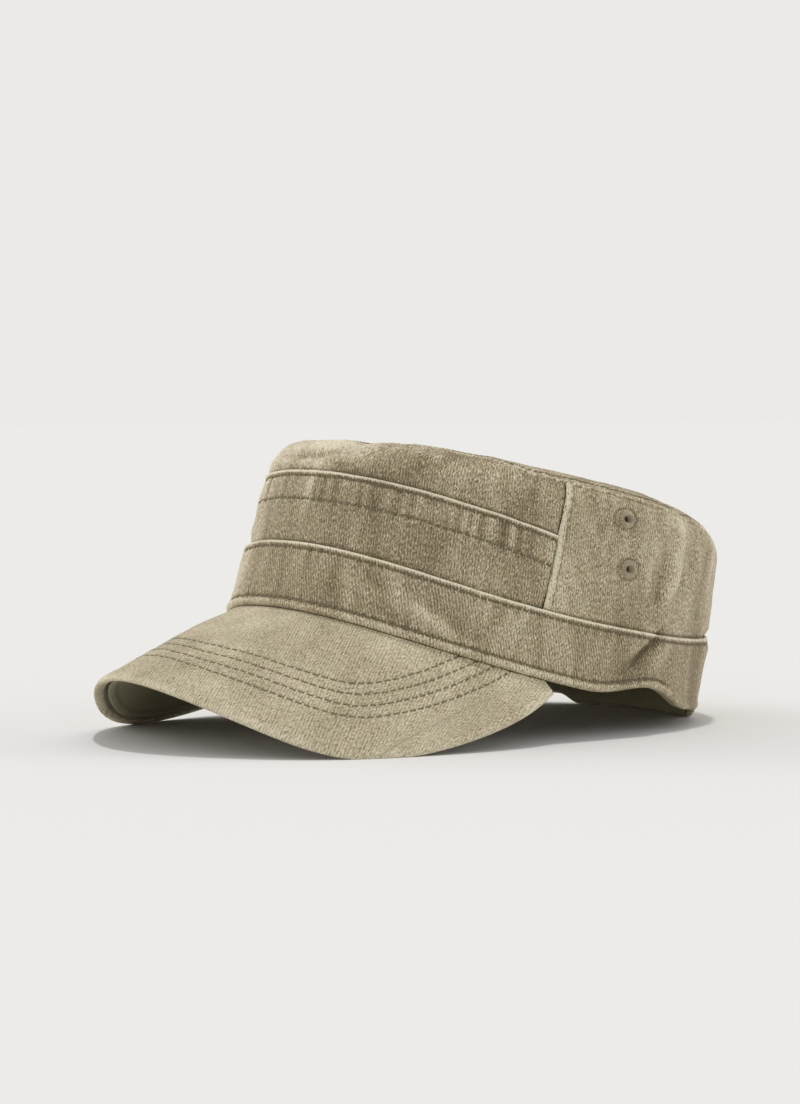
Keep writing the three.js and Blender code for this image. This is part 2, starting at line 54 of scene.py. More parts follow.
# Crown sizes in millimetres, as in the frame
head_length = 200.4
head_width = 154.1
crown_height = 86.2
shoulder_height = 16.7
side_lift = 5.9
back_drop = 3.8
panel_cloth = 1.2
band_cloth = 1.2
sweatband_cloth = 1.0
gap = 0.3
band_lap = 8.0
tuck_lap = 2.5
fold_swell = 0.3
hem_height = 3.5
hem_swell = 0.4
seam_rib_width = 3.3
seam_rib_swell = 0.9
sweatband_height = 32.0
sweatband_clearance = 0.7
oval_exponent = 2.2
crown_taper = 0.042
crown_lean = 0.118
shoulder_exponent = 7.5
top_seam_share = 0.951

# Peak sizes in millimetres
peak_reach = 70.2
peak_drop = 56.4
peak_flare = 12.0
peak_arch = 0.9
peak_cloth = 2.0
peak_tuck = 1.0
peak_end_width = 6.0
peak_full_width = 14.0
lining_cloth = 1.0
rim_radius = 1.9
rim_raise = 0.7
rim_length = 1.7

# Sizes of the cloths that only the scene needs: the thinner lower front cloth and how far it stands over the
# upper one, the radius of turned edges, and how far the upper front reaches over the shoulder
front_cloth = 0.8
front_lap = 1.3
panel_round = 0.8
front_wrap = 8.0

# Angles round the crown, 0 at the front and positive towards the wearer's left
side_seam = np.radians(75.4)
peak_end = np.radians(83.6)
lift_span = np.radians([88.7, 124.8])
drop_span = np.radians([149.0, 156.0])
hem_stitch_end = np.radians(112.0)
wrap_turns = np.radians([20, 82])

# Heights round the crown as shares of its height: mean + front * cos(angle) + sides * cos(2 * angle)
levels = {
    "foot": {"mean": 0.1074, "front": 0.0930, "sides": 0.0502},
    "band_top": {"mean": 0.4213, "front": 0.0633, "sides": 0.0631},
    "second_row": {"mean": 0.4781, "front": 0.2898, "sides": -0.0258},
    "tuck_fold": {"mean": 0.6384, "front": 0.2484, "sides": -0.0145},
    "roof": {"mean": 1.0, "front": 0.0924, "sides": -0.0239},
}

# Control points of half the peak's rim, from its tip to its side, as shares of the peak's sizes
rim_controls = table(
    "across along forward down",
    (0.000, 1.000, 1.000, 0.489),
    (0.654, 1.000, 0.495, 0.813),
    (0.929, 1.000, 0.027, 1.000),
    (1.000, 0.388, 0.000, 0.583),
)

dent_columns = "angle height slope length width push"

# Soft dents of the wall. Angle and slope are degrees, and the rest are shares of the crown's height
dents = table(
    dent_columns,
    (55, 0.270, -29, 0.230, 0.065, -0.015),
    (49, 0.390, -29, 0.200, 0.080, 0.009),
    (104, 0.550, 84, 0.190, 0.055, -0.018),
    (109, 0.600, 84, 0.200, 0.050, 0.014),
    (116, 0.700, 86, 0.210, 0.050, -0.015),
    (101, 0.245, 41, 0.150, 0.042, -0.018),
    (98, 0.320, 38, 0.150, 0.055, 0.014),
    (131, 0.500, 78, 0.260, 0.090, -0.010),
    (-5, 0.938, 0, 0.150, 0.026, -0.009),
    (9, 0.978, 9, 0.180, 0.026, -0.008),
    (-70, 0.600, 70, 0.220, 0.070, -0.010),
    (-118, 0.520, 80, 0.240, 0.070, -0.013),
    (178, 0.560, 10, 0.260, 0.090, -0.012),
)

# Creases finer than the dents: degrees for angle and slope, millimetres for the rest
creases = table(
    dent_columns,
    (103.5, 24.6, 47, 9.0, 1.3, -2.1),
    (106.5, 27.8, 60, 4.0, 0.8, -1.2),
    (100.3, 25.6, 44, 9.0, 2.2, 1.3),
    (108.5, 22.6, 52, 9.0, 3.0, 0.8),
    (105.0, 50.0, 86, 13.0, 1.6, -0.5),
    (113.5, 60.0, 88, 16.0, 2.2, -0.5),
    (119.0, 63.0, 88, 14.0, 2.6, 0.5),
    (54.0, 24.5, -40, 9.0, 1.8, -0.45),
    (-2.0, 81.5, 4, 20.0, 1.3, -0.9),
    (6.0, 84.0, 12, 22.0, 1.2, -0.9),
    (24.0, 84.5, -20, 10.0, 1.4, -0.8),
    (-14.0, 79.0, 2, 16.0, 1.6, 0.8),
    (2.0, 86.5, 6, 20.0, 1.5, 0.8),
    (16.0, 76.0, -14, 26.0, 2.4, -0.7),
    (18.0, 72.0, -12, 26.0, 2.4, 0.5),
    (38.0, 80.0, 24, 12.0, 2.0, -0.5),
    (66.0, 72.0, 80, 12.0, 2.2, -0.5),
    (61.0, 74.0, 80, 12.0, 2.2, 0.4),
    (47.0, 24.5, -28, 13.0, 2.4, 1.2),
    (42.0, 20.0, -28, 13.0, 3.0, -1.2),
    (30.0, 31.0, -34, 9.0, 2.2, 0.7),
    (33.0, 34.5, -34, 9.0, 1.8, -0.7),
    (64.0, 27.0, 70, 9.0, 2.4, -0.6),
    (70.0, 26.0, 72, 9.0, 2.4, 0.5),
    (22.0, 30.0, -70, 10.0, 2.6, -0.6),
    (27.0, 28.0, -70, 10.0, 2.6, 0.5),
    (126.0, 62.0, 84, 18.0, 2.4, -0.5),
    (132.0, 60.0, 84, 18.0, 3.0, 0.5),
    (108.0, 47.0, 55, 9.0, 1.8, 0.7),
    (111.0, 45.5, 55, 9.0, 1.6, -0.7),
)

# Broad swells and hollows that show at the cap's outline, and that are neither paler on their crests nor
# painted darker in their hollows
outline_creases = table(
    dent_columns,
    (-36.0, 84.0, 0, 40.0, 6.0, 1.5),
    (-36.0, 76.5, 0, 22.0, 3.0, 0.7),
    (-36.0, 51.0, 0, 22.0, 4.0, 1.0),
    (138.0, 79.0, 0, 26.0, 6.0, 1.3),
    (146.0, 33.0, 0, 30.0, 2.6, -1.8),
    (144.0, 21.0, 0, 24.0, 9.0, -0.8),
)

# Where the whole wall, its hem too, stands further in or out
shifts = table(dent_columns, (146.0, 6.0, 0, 26.0, 15.0, -1.5))

# Patches painted paler or darker: middle and reach, round the cap in degrees and up it in mm. The two palest,
# on the front towards the wearer's right and on its shoulder, are painted light where the lamps fall
lit_and_pale_places = table(
    "angle height width length paler",
    (-40.0, 50.0, 30.0, 90.0, 0.85),
    (3.0, 91.0, 20.0, 12.0, 1.80),
    (66.0, 104.0, 20.0, 8.0, 0.25),
    (52.0, 56.0, 14.0, 12.0, -0.25),
    (2.0, 30.0, 16.0, 14.0, -0.20),
    (96.0, 58.0, 8.0, 18.0, 0.50),
    (112.0, 66.0, 9.0, 24.0, 0.35),
    (54.0, 24.0, 9.0, 9.0, 0.30),
    (134.0, 70.0, 8.0, 22.0, 0.15),
    (20.0, 12.0, 16.0, 14.0, 0.12),
    (-112.0, 60.0, 14.0, 30.0, 0.30),
)

eyelet_places = table("name angle height", ("upper", 91.0, 0.844), ("lower", 93.9, 0.618))
eyelet_pairs = [(side, place) for side in (1, -1) for place in eyelet_places]

# How the cap lies: it leans back by this angle about X and is lifted, and its lowest points are pressed flat
resting_lean = np.radians(9.038)
resting_lift = 13.890
dent_fade_height = 4.0

# How far the worn top has sunk beside and behind the front, and the heights, turns and shares where it does
top_sag = 1.4
sag_heights = (60, 86)
sag_turns = np.radians([25, 70])
sag_end = np.radians([112, 142])
sag_reach = (0.08, 0.75)

# Rows of stitches: their spacing and length, the thread's radius, and how far from an edge each row lies
stitch_pitch = 3.4
wall_pitch = 2.9
peak_stitch = stitch_pitch * 0.72
wall_stitch = wall_pitch * 0.80
thread_radius = 0.21
band_row_depth = 2.3
top_row_depth = 3.1
fold_row_depth = 2.1
first_row_inset = 17.4
row_spacing = 5.14
peak_row_insets = [first_row_inset + row_spacing * k for k in range(4)]
far_from_seams = 9.0

# How far each row of thread lies below the plain face of its cloth
sunk_depths = {"band_fold": 0.18, "hem": 0.20, "front": 0.16, "rear": -0.06, "top": 0.12, "peak": 0.14}

# How much painted shade darkens the front cloths and the band, added to each point's tone
front_painted_shade = 0.36
band_painted_shade = 0.24

# Steps in from a cloth's side seams, in millimetres
front_edge_steps = [0, 0.25, 0.6]
rear_edge_steps = [0, 0.08, 0.2, 0.4, 0.7, 1.0, 1.5, 2.1, 2.6, 3.0, 3.3, 3.6, 4.0, 4.6, 5.4]

half_length = head_length / 2
half_width = head_width / 2
mean_radius = (half_length + half_width) / 2
shoulder_mean = crown_height - shoulder_height
seam_rise = np.sqrt(1 - top_seam_share**shoulder_exponent)
lapped_face = panel_cloth + gap
band_face = lapped_face + band_cloth
seam_face = panel_cloth + 2 * gap
top_gap_share = gap / half_width * 0.75

# The small turn between two points of a surface that give its direction
turn_step = 0.002


def between(low, high, share):
    return low + (high - low) * share


def smooth(value, start, end):
    share = np.clip((value - start) / (end - start), 0, 1)
    return share * share * (3 - 2 * share)


def bump(value, width):
    return np.exp(-((value / width) ** 2))


def wrapped(angle):
    return np.arctan2(np.sin(angle), np.cos(angle))


def unit(vectors):
    return vectors / np.linalg.norm(vectors, axis=-1, keepdims=True)


def lengths_along(points):
    """Lengths along a line of points, from its first."""
    return np.concatenate([[0], np.cumsum(np.linalg.norm(np.diff(points, axis=0), axis=-1))])


def level(name, angle):
    row = levels[name]
    return crown_height * (row["mean"] + row["front"] * np.cos(angle) + row["sides"] * np.cos(2 * angle))


def foot(angle):
    """The band's lower edge, with the lift behind the peak on the wearer's left and the drop at the back."""
    turn = wrapped(angle)
    share = np.clip((turn - lift_span[0]) / (lift_span[1] - lift_span[0]), 0, 1)
    raised = level("foot", angle) + side_lift * np.sin(np.pi * share) ** 2
    return raised - back_drop * smooth(np.abs(turn), *drop_span)


def shoulder(angle):
    return level("roof", angle) - shoulder_height


def top_seam(angle):
    return shoulder(angle) + shoulder_height * seam_rise


def oval(angle, height, scale):
    """Points on the crown's oval, scaled about its middle, which leans back with the height."""
    power = 2 / oval_exponent
    across, along = np.sin(angle), np.cos(angle)
    x = half_width * np.sign(across) * np.abs(across) ** power * scale
    y = -half_length * np.sign(along) * np.abs(along) ** power * scale
    return np.stack(np.broadcast_arrays(x, y + crown_lean * height, height), -1)


def wall(angle, height):
    """Points on the crown's inner face."""
    start = shoulder(angle)
    rise = np.clip((height - start) / shoulder_height, 0, 0.999)
    narrowing = 1 - crown_taper * np.minimum(height, start) / shoulder_mean
    return oval(angle, height, narrowing * (1 - rise**2) ** (1 / shoulder_exponent))


def dome(angle, share):
    """Points on the top's inner face, where share runs from 0 in the middle to 1 at the wall."""
    start = shoulder(angle)
    sink = (start - shoulder_mean) * np.minimum(share / top_seam_share, 1) ** 2
    height = shoulder_mean + sink + shoulder_height * np.sqrt(1 - share**shoulder_exponent)
    return oval(angle, height, share * (1 - crown_taper * start / shoulder_mean))


def normals(surface, first, second, second_step):
    """A surface's normals, from small steps of its two coordinates."""
    along = surface(first + turn_step, second) - surface(first - turn_step, second)
    across = surface(first, second + second_step) - surface(first, second - second_step)
    return unit(np.cross(along, across))


def wall_normals(angle, height):
    return normals(wall, angle, height, 0.2)


def upward_normals(surface, first, share, share_step):
    normal = normals(surface, first, share, share_step)
    return normal * np.sign(normal[..., 2:])


def waves(points, seed, count, shortest, longest):
    """A smooth random field at points, made of waves between two lengths, about 1 high."""
    chance = np.random.default_rng(seed)
    total = np.zeros(points.shape[:-1])
    for _ in range(count):
        length = shortest * (longest / shortest) ** chance.random()
        direction = chance.normal(size=points.shape[-1])
        direction /= np.linalg.norm(direction)
        total += np.sin(points @ direction * (2 * np.pi / length) + chance.random() * 2 * np.pi)
    return total / np.sqrt(count / 2)


def pushed(angle, height, *tables):
    """How far dents push the wall out. Each table of dents comes with the length of its unit."""
    push = 0
    for rows, size in tables:
        for dent in rows:
            across = wrapped(angle - np.radians(dent["angle"])) * mean_radius
            rise = height - dent["height"] * size
            slope = np.radians(dent["slope"])
            along = (across * np.cos(slope) + rise * np.sin(slope)) / (dent["length"] * size)
            aside = (rise * np.cos(slope) - across * np.sin(slope)) / (dent["width"] * size)
            push = push + dent["push"] * size * np.exp(-(along**2) - aside**2)
    return push


def dent_push(angle, height):
    """All dents and creases, which fade out towards the hem, and the shifts, which reach it."""
    hem_top = foot(angle) + hem_height
    push = pushed(angle, height, (dents, crown_height), (creases, 1), (outline_creases, 1))
    push = push * smooth(height, hem_top, hem_top + dent_fade_height)
    return push + pushed(angle, height, (shifts, 1))


def slack(angle, height):
    """The slight unevenness of worn cloth, which every layer of the wall shares."""
    points = wall(angle, height)
    fade = smooth(height, foot(angle) + 2, foot(angle) + 14)
    return (0.28 * waves(points, 11, 16, 22, 70) + 0.10 * waves(points, 12, 18, 7, 16)) * fade


def cloth(angle, height, out):
    """Points at a distance outward from the worn wall's inner face."""
    push = out + dent_push(angle, height) + slack(angle, height)
    return wall(angle, height) + wall_normals(angle, height) * push[..., None]


# Lengths round the oval, measured from the front, over two turns
turn_table = np.linspace(-2 * np.pi, 2 * np.pi, 5761)
arc_table = lengths_along(wall(turn_table, np.zeros(turn_table.shape)))
arc_table -= arc_table[len(arc_table) // 2]
full_arc = arc_table[-1]


def arc_of(angle):
    return np.interp(angle, turn_table, arc_table)


def angle_of(arc):
    return np.interp(arc, arc_table, turn_table)


def settled(points):
    """Points of the upright cap where they lie once the cap rests, in metres."""
    x, y, z = points[..., 0], points[..., 1], points[..., 2]
    aside, ahead = x / half_width, (crown_lean * z - y) / half_length
    turn = np.abs(np.arctan2(aside, ahead))
    round_about = smooth(turn, *sag_turns) * (1 - smooth(turn, *sag_end))
    z = z - top_sag * smooth(z, *sag_heights) * round_about * smooth(np.hypot(aside, ahead), *sag_reach)
    turned_y = y * np.cos(resting_lean) + z * np.sin(resting_lean)
    turned_z = z * np.cos(resting_lean) - y * np.sin(resting_lean)
    return np.stack([x, turned_y + resting_shift, np.maximum(turned_z + resting_lift, 0)], -1) / 1000


# The shift along Y that brings the crown's fitted shape onto the frame's top panel, first measured without it
resting_shift = 0.0
edge_turn = np.linspace(-np.pi, np.pi, 721)
edge = settled(dome(edge_turn, np.full(edge_turn.shape, top_seam_share)))
low_corner, high_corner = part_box("top_panel")
resting_shift = 1000 * ((low_corner.y + high_corner.y) / 2 - (edge[:, 1].min() + edge[:, 1].max()) / 2)

# Half the gap at a side seam as a turn, and where the front and the rear cloths end beside it
seam_turns = side_seam + np.array([-turn_step, turn_step])
seam_ends = wall(seam_turns, level("band_top", seam_turns))
half_gap_turn = gap / 2 / (np.linalg.norm(seam_ends[1] - seam_ends[0]) / (2 * turn_step))
front_end = side_seam - half_gap_turn
rear_start = side_seam + half_gap_turn


def placed(name, data):
    made = bpy.data.objects.new(name, data)
    bpy.context.scene.collection.objects.link(made)
    return made


def new_object(name, points, faces, coordinates, seams, wear_and_shade):
    """A mesh object from points in metres. For each face corner, coordinates is its place on the flat cloth,
    and seams the place along the nearest row of stitches and the distance from it."""
    mesh = bpy.data.meshes.new(name)
    mesh.from_pydata(points.tolist(), [], faces)
    mesh.polygons.foreach_set("use_smooth", np.ones(len(mesh.polygons), bool))
    for layer_name, values in (("cloth", coordinates), ("seam", seams)):
        layer = mesh.uv_layers.new(name=layer_name)
        layer.data.foreach_set("uv", np.asarray(values, np.float32).ravel())
    # Each point's tone: worn paleness together with painted light and shade
    attribute = mesh.attributes.new("wear_and_shade", "FLOAT", "POINT")
    attribute.data.foreach_set("value", np.asarray(wear_and_shade, np.float32).ravel())
    return placed(name, mesh)


def signed_volume(points, quads):
    a, b, c, d = (points[quads[:, k]] for k in range(4))
    return (np.einsum("ij,ij->i", a, np.cross(b, c)) + np.einsum("ij,ij->i", a, np.cross(c, d))).sum()


def quads_of(i, j, count, loop):
    """The corners of the quads at rows i and columns j of a grid that closes on itself both ways."""
    following, beside = (i + 1) % count, (j + 1) % loop
    corners = i * loop + j, following * loop + j, following * loop + beside, i * loop + beside
    return np.stack(np.broadcast_arrays(*corners), -1).reshape(-1, 4)


def lofted(name, grid, along, up, wear_and_shade, ring, seam=None, seam_along=None):
    """A closed cloth body. The grid's second index runs round the section's loop, its first along the cloth.
    along and up are the flat cloth's coordinates, and seam is the distance from the nearest stitches."""
    count, loop = grid.shape[:2]
    seam = np.full((count, loop), far_from_seams) if seam is None else seam
    i = np.arange(count if ring else count - 1)[:, None]
    quads = quads_of(i, np.arange(loop)[None, :], count, loop)
    run = np.broadcast_to(along[i[..., None] + [0, 1, 1, 0]], (len(i), loop, 4)).reshape(-1, 4)
    flat = np.stack([run, up.ravel()[quads]], -1) / 1000
    run = run if seam_along is None else seam_along.ravel()[quads]
    rows = np.stack([run, seam.ravel()[quads]], -1) / 1000
    points = settled(grid).reshape(-1, 3)
    turned = signed_volume(points, quads) < 0
    if turned:
        quads, flat, rows = quads[:, ::-1], flat[:, ::-1], rows[:, ::-1]
    faces = quads.tolist()
    coordinates, seams = [flat.reshape(-1, 2)], [rows.reshape(-1, 2)]
    if not ring:
        for at, reverse in ((0, not turned), (count - 1, turned)):
            order = np.arange(loop)[::-1] if reverse else np.arange(loop)
            faces.append((at * loop + order).tolist())
            coordinates.append(np.stack([np.full(loop, along[at]), up[at, order]], -1) / 1000)
            seams.append(np.full((loop, 2), far_from_seams / 1000))
    return new_object(name, points, faces, np.concatenate(coordinates), np.concatenate(seams), wear_and_shade)


def nearest(*distances):
    """The signed distance with the smallest size at each place."""
    everything = np.stack(np.broadcast_arrays(*distances))
    choice = np.abs(everything).argmin(0)
    return np.take_along_axis(everything, choice[None], 0)[0]


def padded(block, width, value):
    """A block of columns for a cloth's outer face, with one value over the rest of its loop."""
    return np.pad(block, ((0, 0), (0, width - block.shape[1])), constant_values=value)


def steps(start, end, count):
    """Even steps between two columns, both with them, as a block of columns."""
    return start + (end - start) * np.linspace(0, 1, count)[None, :]


def ladder(start, *spans):
    """Blocks of steps that follow one another. Each span is its last column and its count of steps."""
    blocks = [start]
    for end, count in spans:
        blocks.append(steps(start, end, count)[:, 1:])
        start = end
    return np.concatenate(blocks, 1)


def rolled(centre, middle, radius, start, end, count):
    """A rounded edge: heights and distances outward on an arc between two angles in degrees."""
    turn = np.radians(np.linspace(start, end, count))[None, :]
    return np.broadcast_arrays(centre + radius * np.sin(turn), middle + radius * np.cos(turn))


def pucker(arc, seed, spacing):
    """Uneven ripples along a seam, between about -1 and 1."""
    line = np.stack([arc, np.zeros(np.shape(arc))], -1)
    drift = waves(line, seed, 8, 12, 60)
    strength = 0.6 + 0.4 * waves(line, seed + 1, 6, 18, 70)
    return np.cos(2 * np.pi * arc / spacing + 1.3 * drift) * np.clip(strength, 0, 1.2)


def stitch_groove(arc, distance, pitch=wall_pitch):
    """The furrow that a row of stitches pulls into the cloth, deepest where the thread dives in."""
    beat = 0.72 + 0.28 * np.cos(2 * np.pi * arc / pitch)
    return -0.5 * bump(distance, 0.7) * beat


def painted_shade_share(angle):
    """0 towards the wearer's right of the front, which faces the left softbox, and 1 elsewhere: where painted
    shade darkens the front cloths and the band.
    """
    return smooth(np.abs(wrapped(angle + np.radians(42))), np.radians(8), np.radians(55))


def relief_tone_and_shade(relief):
    """Raised cloth is worn paler, and sunk cloth is painted darker, as shade in its hollows."""
    return np.clip(relief * 1.1, -1, 1)


def fold_shade_and_patches(angle, height):
    """Folds are paler on their crests, as worn cloth, and darker in their hollows, as painted shade; the
    listed patches add painted light where the lamps fall and paler or darker tone elsewhere.
    """
    # Painted light where the lamps fall on the front and its shoulder, and paler or darker patches elsewhere
    washed = 0 * height
    for row in lit_and_pale_places:
        across = wrapped(angle - np.radians(row["angle"])) / np.radians(row["width"])
        up = (height - row["height"]) / row["length"]
        washed = washed + row["paler"] * np.exp(-(across**2) - up**2)
    # Paler where dents and creases push out, partly worn, and painted shade where they sink in
    marks = 0.2 * pushed(angle, height, (dents, crown_height))
    marks = marks + 0.5 * pushed(angle, height, (creases, 1))
    return np.clip(marks, -0.75, 0.45) + washed


def row_shadow(arc, distance, width, ripple, unevenness):
    """The broken dark line of a row of stitches that is half hidden by a fold."""
    dashes = 0.75 + 0.55 * np.cos(2 * np.pi * arc / wall_pitch + 1.4 * pucker(arc, 51, 14.0))
    return bump(distance, width) * (1 - unevenness + unevenness * ripple) * dashes


def edge_shadow(height, edge):
    """The dark just above another cloth's folded edge."""
    return -bump(height - edge - 0.3, 0.8)


def seam_shade(arcs):
    """The dark line beside the side seams, for each column."""
    from_end = np.minimum(arcs - arcs[0], arcs[-1] - arcs)
    return -0.9 * bump(from_end, 0.55)[:, None]


def edge_turn_in(from_end, radius):
    """How far a face turns in beside its folded edge."""
    near = np.clip(1 - from_end / radius, 0, 1)
    return radius * (1 - np.sqrt(1 - near**2 * 0.98))


def band_relief(angle, height):
    """How far the band's face is pushed out, and its tone: worn paleness with painted light and shade."""
    arc = arc_of(angle)
    from_fold = height - (level("band_top", angle) - band_row_depth)
    from_hem = height - (foot(angle) + hem_height)
    sewn = 1 - smooth(np.abs(wrapped(angle)), hem_stitch_end, hem_stitch_end + 0.05)
    below_fold = np.where(from_fold < 0, bump(from_fold, 5.5), bump(from_fold, 1.2))
    above_hem = np.where(from_hem > 0, bump(from_hem, 4.0), bump(from_hem, 1.6))
    fold_ripple, hem_ripple = pucker(arc, 31, 4.6), pucker(arc, 33, 5.4)
    relief = stitch_groove(arc, from_fold) + 1.3 * stitch_groove(arc, from_hem) * (0.25 + 0.75 * sewn)
    relief = relief + 0.26 * below_fold * fold_ripple + 0.24 * above_hem * hem_ripple * sewn
    hem_roll = from_hem + 1.9
    relief = relief + 0.35 * bump(hem_roll, 1.1) * (0.3 + 0.7 * sewn)
    # Painted highlight on the rounded hem roll, and painted shadow lines under the hem and under the fold
    wear_and_shade = 0.7 * relief_tone_and_shade(relief) + 0.25 * bump(hem_roll, 1.0) * sewn
    wear_and_shade = wear_and_shade - 0.8 * sewn * row_shadow(arc, from_hem - 0.45 + 0.35 * hem_ripple, 0.45, hem_ripple, 0.3)
    wear_and_shade = wear_and_shade - 0.7 * row_shadow(arc, from_fold - 0.35 + 0.3 * fold_ripple, 0.4, fold_ripple, 0.35)
    # The band's painted shade on the side away from the left softbox
    return relief, wear_and_shade + fold_shade_and_patches(angle, height) - band_painted_shade * painted_shade_share(angle)


def lower_relief(angle, height):
    """The same for the lower front cloth, which is puckered between its two rows of stitches."""
    arc = arc_of(angle)
    from_fold = height - (level("tuck_fold", angle) - fold_row_depth)
    from_row = height - level("second_row", angle)
    inside = smooth(from_row, -2, 1) * (1 - smooth(from_fold, -1.5, 1.0))
    below = np.where(from_row < 0, bump(from_row, 4.0), 0)
    ripple = 0.6 * pucker(arc, 41, 6.2) + 0.5 * pucker(arc + 0.15 * height, 45, 9.5)
    relief = stitch_groove(arc, from_fold) + 0.9 * stitch_groove(arc, from_row)
    relief = relief + 0.33 * inside * ripple + 0.16 * below * ripple
    # Pucker crests painted paler and their hollows darker, as painted light and shade, with a painted shadow
    # line under the fold
    wear_and_shade = relief_tone_and_shade(relief) + 0.22 * inside * ripple + 0.12 * below * ripple
    wear_and_shade = wear_and_shade - 0.7 * row_shadow(arc, from_fold - 0.35 + 0.2 * ripple, 0.4, ripple, 0.35)
    return relief, wear_and_shade + fold_shade_and_patches(angle, height)


def panel_relief(angle, height, seed):
    """Ripples below the top seam and the fine unevenness of one panel."""
    ripples = 0.10 * bump(height - top_seam(angle), 5.0) * pucker(arc_of(angle), 51, 6.0)
    return ripples + 0.05 * waves(wall(angle, height), seed, 16, 4, 9)


def ring_columns(count):
    """Angles that divide the oval into equal lengths, from the back round the front, and those lengths."""
    arcs = np.linspace(-full_arc / 2, full_arc / 2, count + 1)
    return angle_of(arcs[:-1])[:, None], arcs


def span_columns(start, end, spacing, edge_steps):
    """Angles between two seams, closer together at both ends by the given steps, and their lengths."""
    first, last = arc_of(start), arc_of(end)
    edge_steps = np.asarray(edge_steps)
    count = int((last - first - 2 * edge_steps[-1]) / spacing)
    middle = np.linspace(first + edge_steps[-1], last - edge_steps[-1], count)
    arcs = np.concatenate([first + edge_steps[:-1], middle, (last - edge_steps[:-1])[::-1]])
    return angle_of(arcs)[:, None], arcs


def build_band():
    t, arcs = ring_columns(940)
    low, high = foot(t), level("band_top", t)
    hem_top = low + hem_height
    roll = (band_face + hem_swell) / 2
    fold = (band_cloth + fold_swell) / 2
    roll_heights, roll_outs = rolled(low + roll, roll, roll, -90, 0, 6)
    climb = ladder(low + roll, (hem_top - 0.9, 5), (hem_top + 1.5, 9), (high - 4.5, 30), (high - fold, 13))
    outer = np.concatenate([roll_heights, climb[:, 1:]], 1)
    face = band_face + hem_swell * (1 - smooth(outer, hem_top - 0.8, hem_top + 0.6))
    face = face + fold_swell * smooth(outer, high - band_row_depth - 0.2, high - 1.2)
    face[:, :5] = roll_outs[:, :5]
    relief, paler = band_relief(t, outer)

    fold_heights, fold_outs = rolled(high - fold, lapped_face + fold, fold, 20, 180, 8)
    inner = ladder(high - fold, (hem_top + 1.2, 9))[:, 1:]
    end_heights, end_outs = rolled(low + roll, roll, roll, 180, 270, 6)
    heights = np.concatenate([outer, fold_heights, inner, hem_top, end_heights[:, :-1]], 1)
    inner_outs = [0 * inner + lapped_face, 0 * hem_top + 0.3, end_outs[:, :-1]]
    outs = np.concatenate([face + relief, fold_outs + 0 * t, *inner_outs], 1)

    width = heights.shape[1]
    visible = np.arange(width)[None, :] < relief.shape[1] + 5
    # The folded top edge is painted pale, partly as worn edge and partly as painted highlight; the band's
    # lowest 2 mm is paler
    ridge = smooth(heights, high - 1.35, high - 0.75) * visible
    rim = (1 - smooth(heights, low + 0.4, low + 2.4)) * visible
    wear_and_shade = padded(paler, width, 0) + 1.3 * ridge + 0.22 * rim
    from_hem = np.where(np.abs(wrapped(t)) < hem_stitch_end, outer - hem_top, far_from_seams)
    seam = padded(nearest(outer - high + band_row_depth, from_hem), width, far_from_seams)
    return lofted("band_cloth", cloth(t, heights, outs), arcs, heights, wear_and_shade, True, seam)


def edge_share(angle):
    """Where the top panel begins. In front its seam lies further in, over the shoulder."""
    turn = np.abs(wrapped(angle))
    return top_seam_share - front_wrap / half_width * (1 - smooth(turn, *wrap_turns))


def over_top(angle, share, out):
    """Points off the dome, which follow the wall's dents beside the top seam."""
    push = dent_push(angle, top_seam(angle)) + slack(angle, top_seam(angle))
    fade = smooth(share, top_seam_share - 0.28, top_seam_share - 0.02)
    normal = upward_normals(dome, angle, np.maximum(share, 0.02), 0.001)
    return dome(angle, share) + normal * (out + push * fade)[..., None]


def build_front_upper():
    t, arcs = span_columns(-front_end, front_end, 0.7, front_edge_steps)
    low = level("second_row", t) - tuck_lap
    fold = level("tuck_fold", t)
    top = top_seam(t)
    outer = ladder(low, (fold - 1, 8), (fold + 2, 8), (shoulder(t), 16), (top, 18))
    inner = steps(top, low, 18)
    shares = steps(0 * t + top_seam_share, edge_share(t), 14)[:, 1:]
    relief = panel_relief(t, outer, 21)
    turn_in = edge_turn_in((shares - edge_share(t)) * half_width, panel_round)
    grid = np.concatenate([
        cloth(t, outer, panel_cloth + relief),
        over_top(t, shares, panel_cloth - turn_in + relief[:, -1:] * 0.5),
        over_top(t, shares[:, ::-1], 0 * shares),
        cloth(t, inner, 0 * inner),
    ], 1)
    # Painted shadow above the lower cloth's fold, folds paler on crests and painted darker in hollows, and
    # painted shade away from the left softbox
    paler = relief_tone_and_shade(relief) + edge_shadow(outer, fold) + fold_shade_and_patches(t, outer) - 1.3 * front_painted_shade * painted_shade_share(t)
    wear_and_shade = np.concatenate([paler, paler[:, -1:] + 0 * shares, 0 * shares, 0 * inner], 1) + seam_shade(arcs)
    reach = top + (top_seam_share - shares) * half_width
    heights = np.concatenate([outer, reach, reach[:, ::-1], inner], 1)
    return lofted("front_upper_cloth", grid, arcs, heights, wear_and_shade, False)


def lower_face(t, height):
    """The lower front cloth's inner face, which steps out over the upper cloth."""
    band_top = level("band_top", t)
    clear = level("second_row", t) - tuck_lap - 2 * gap
    return front_lap * np.clip((height - band_top) / (clear - band_top), 0, 1)


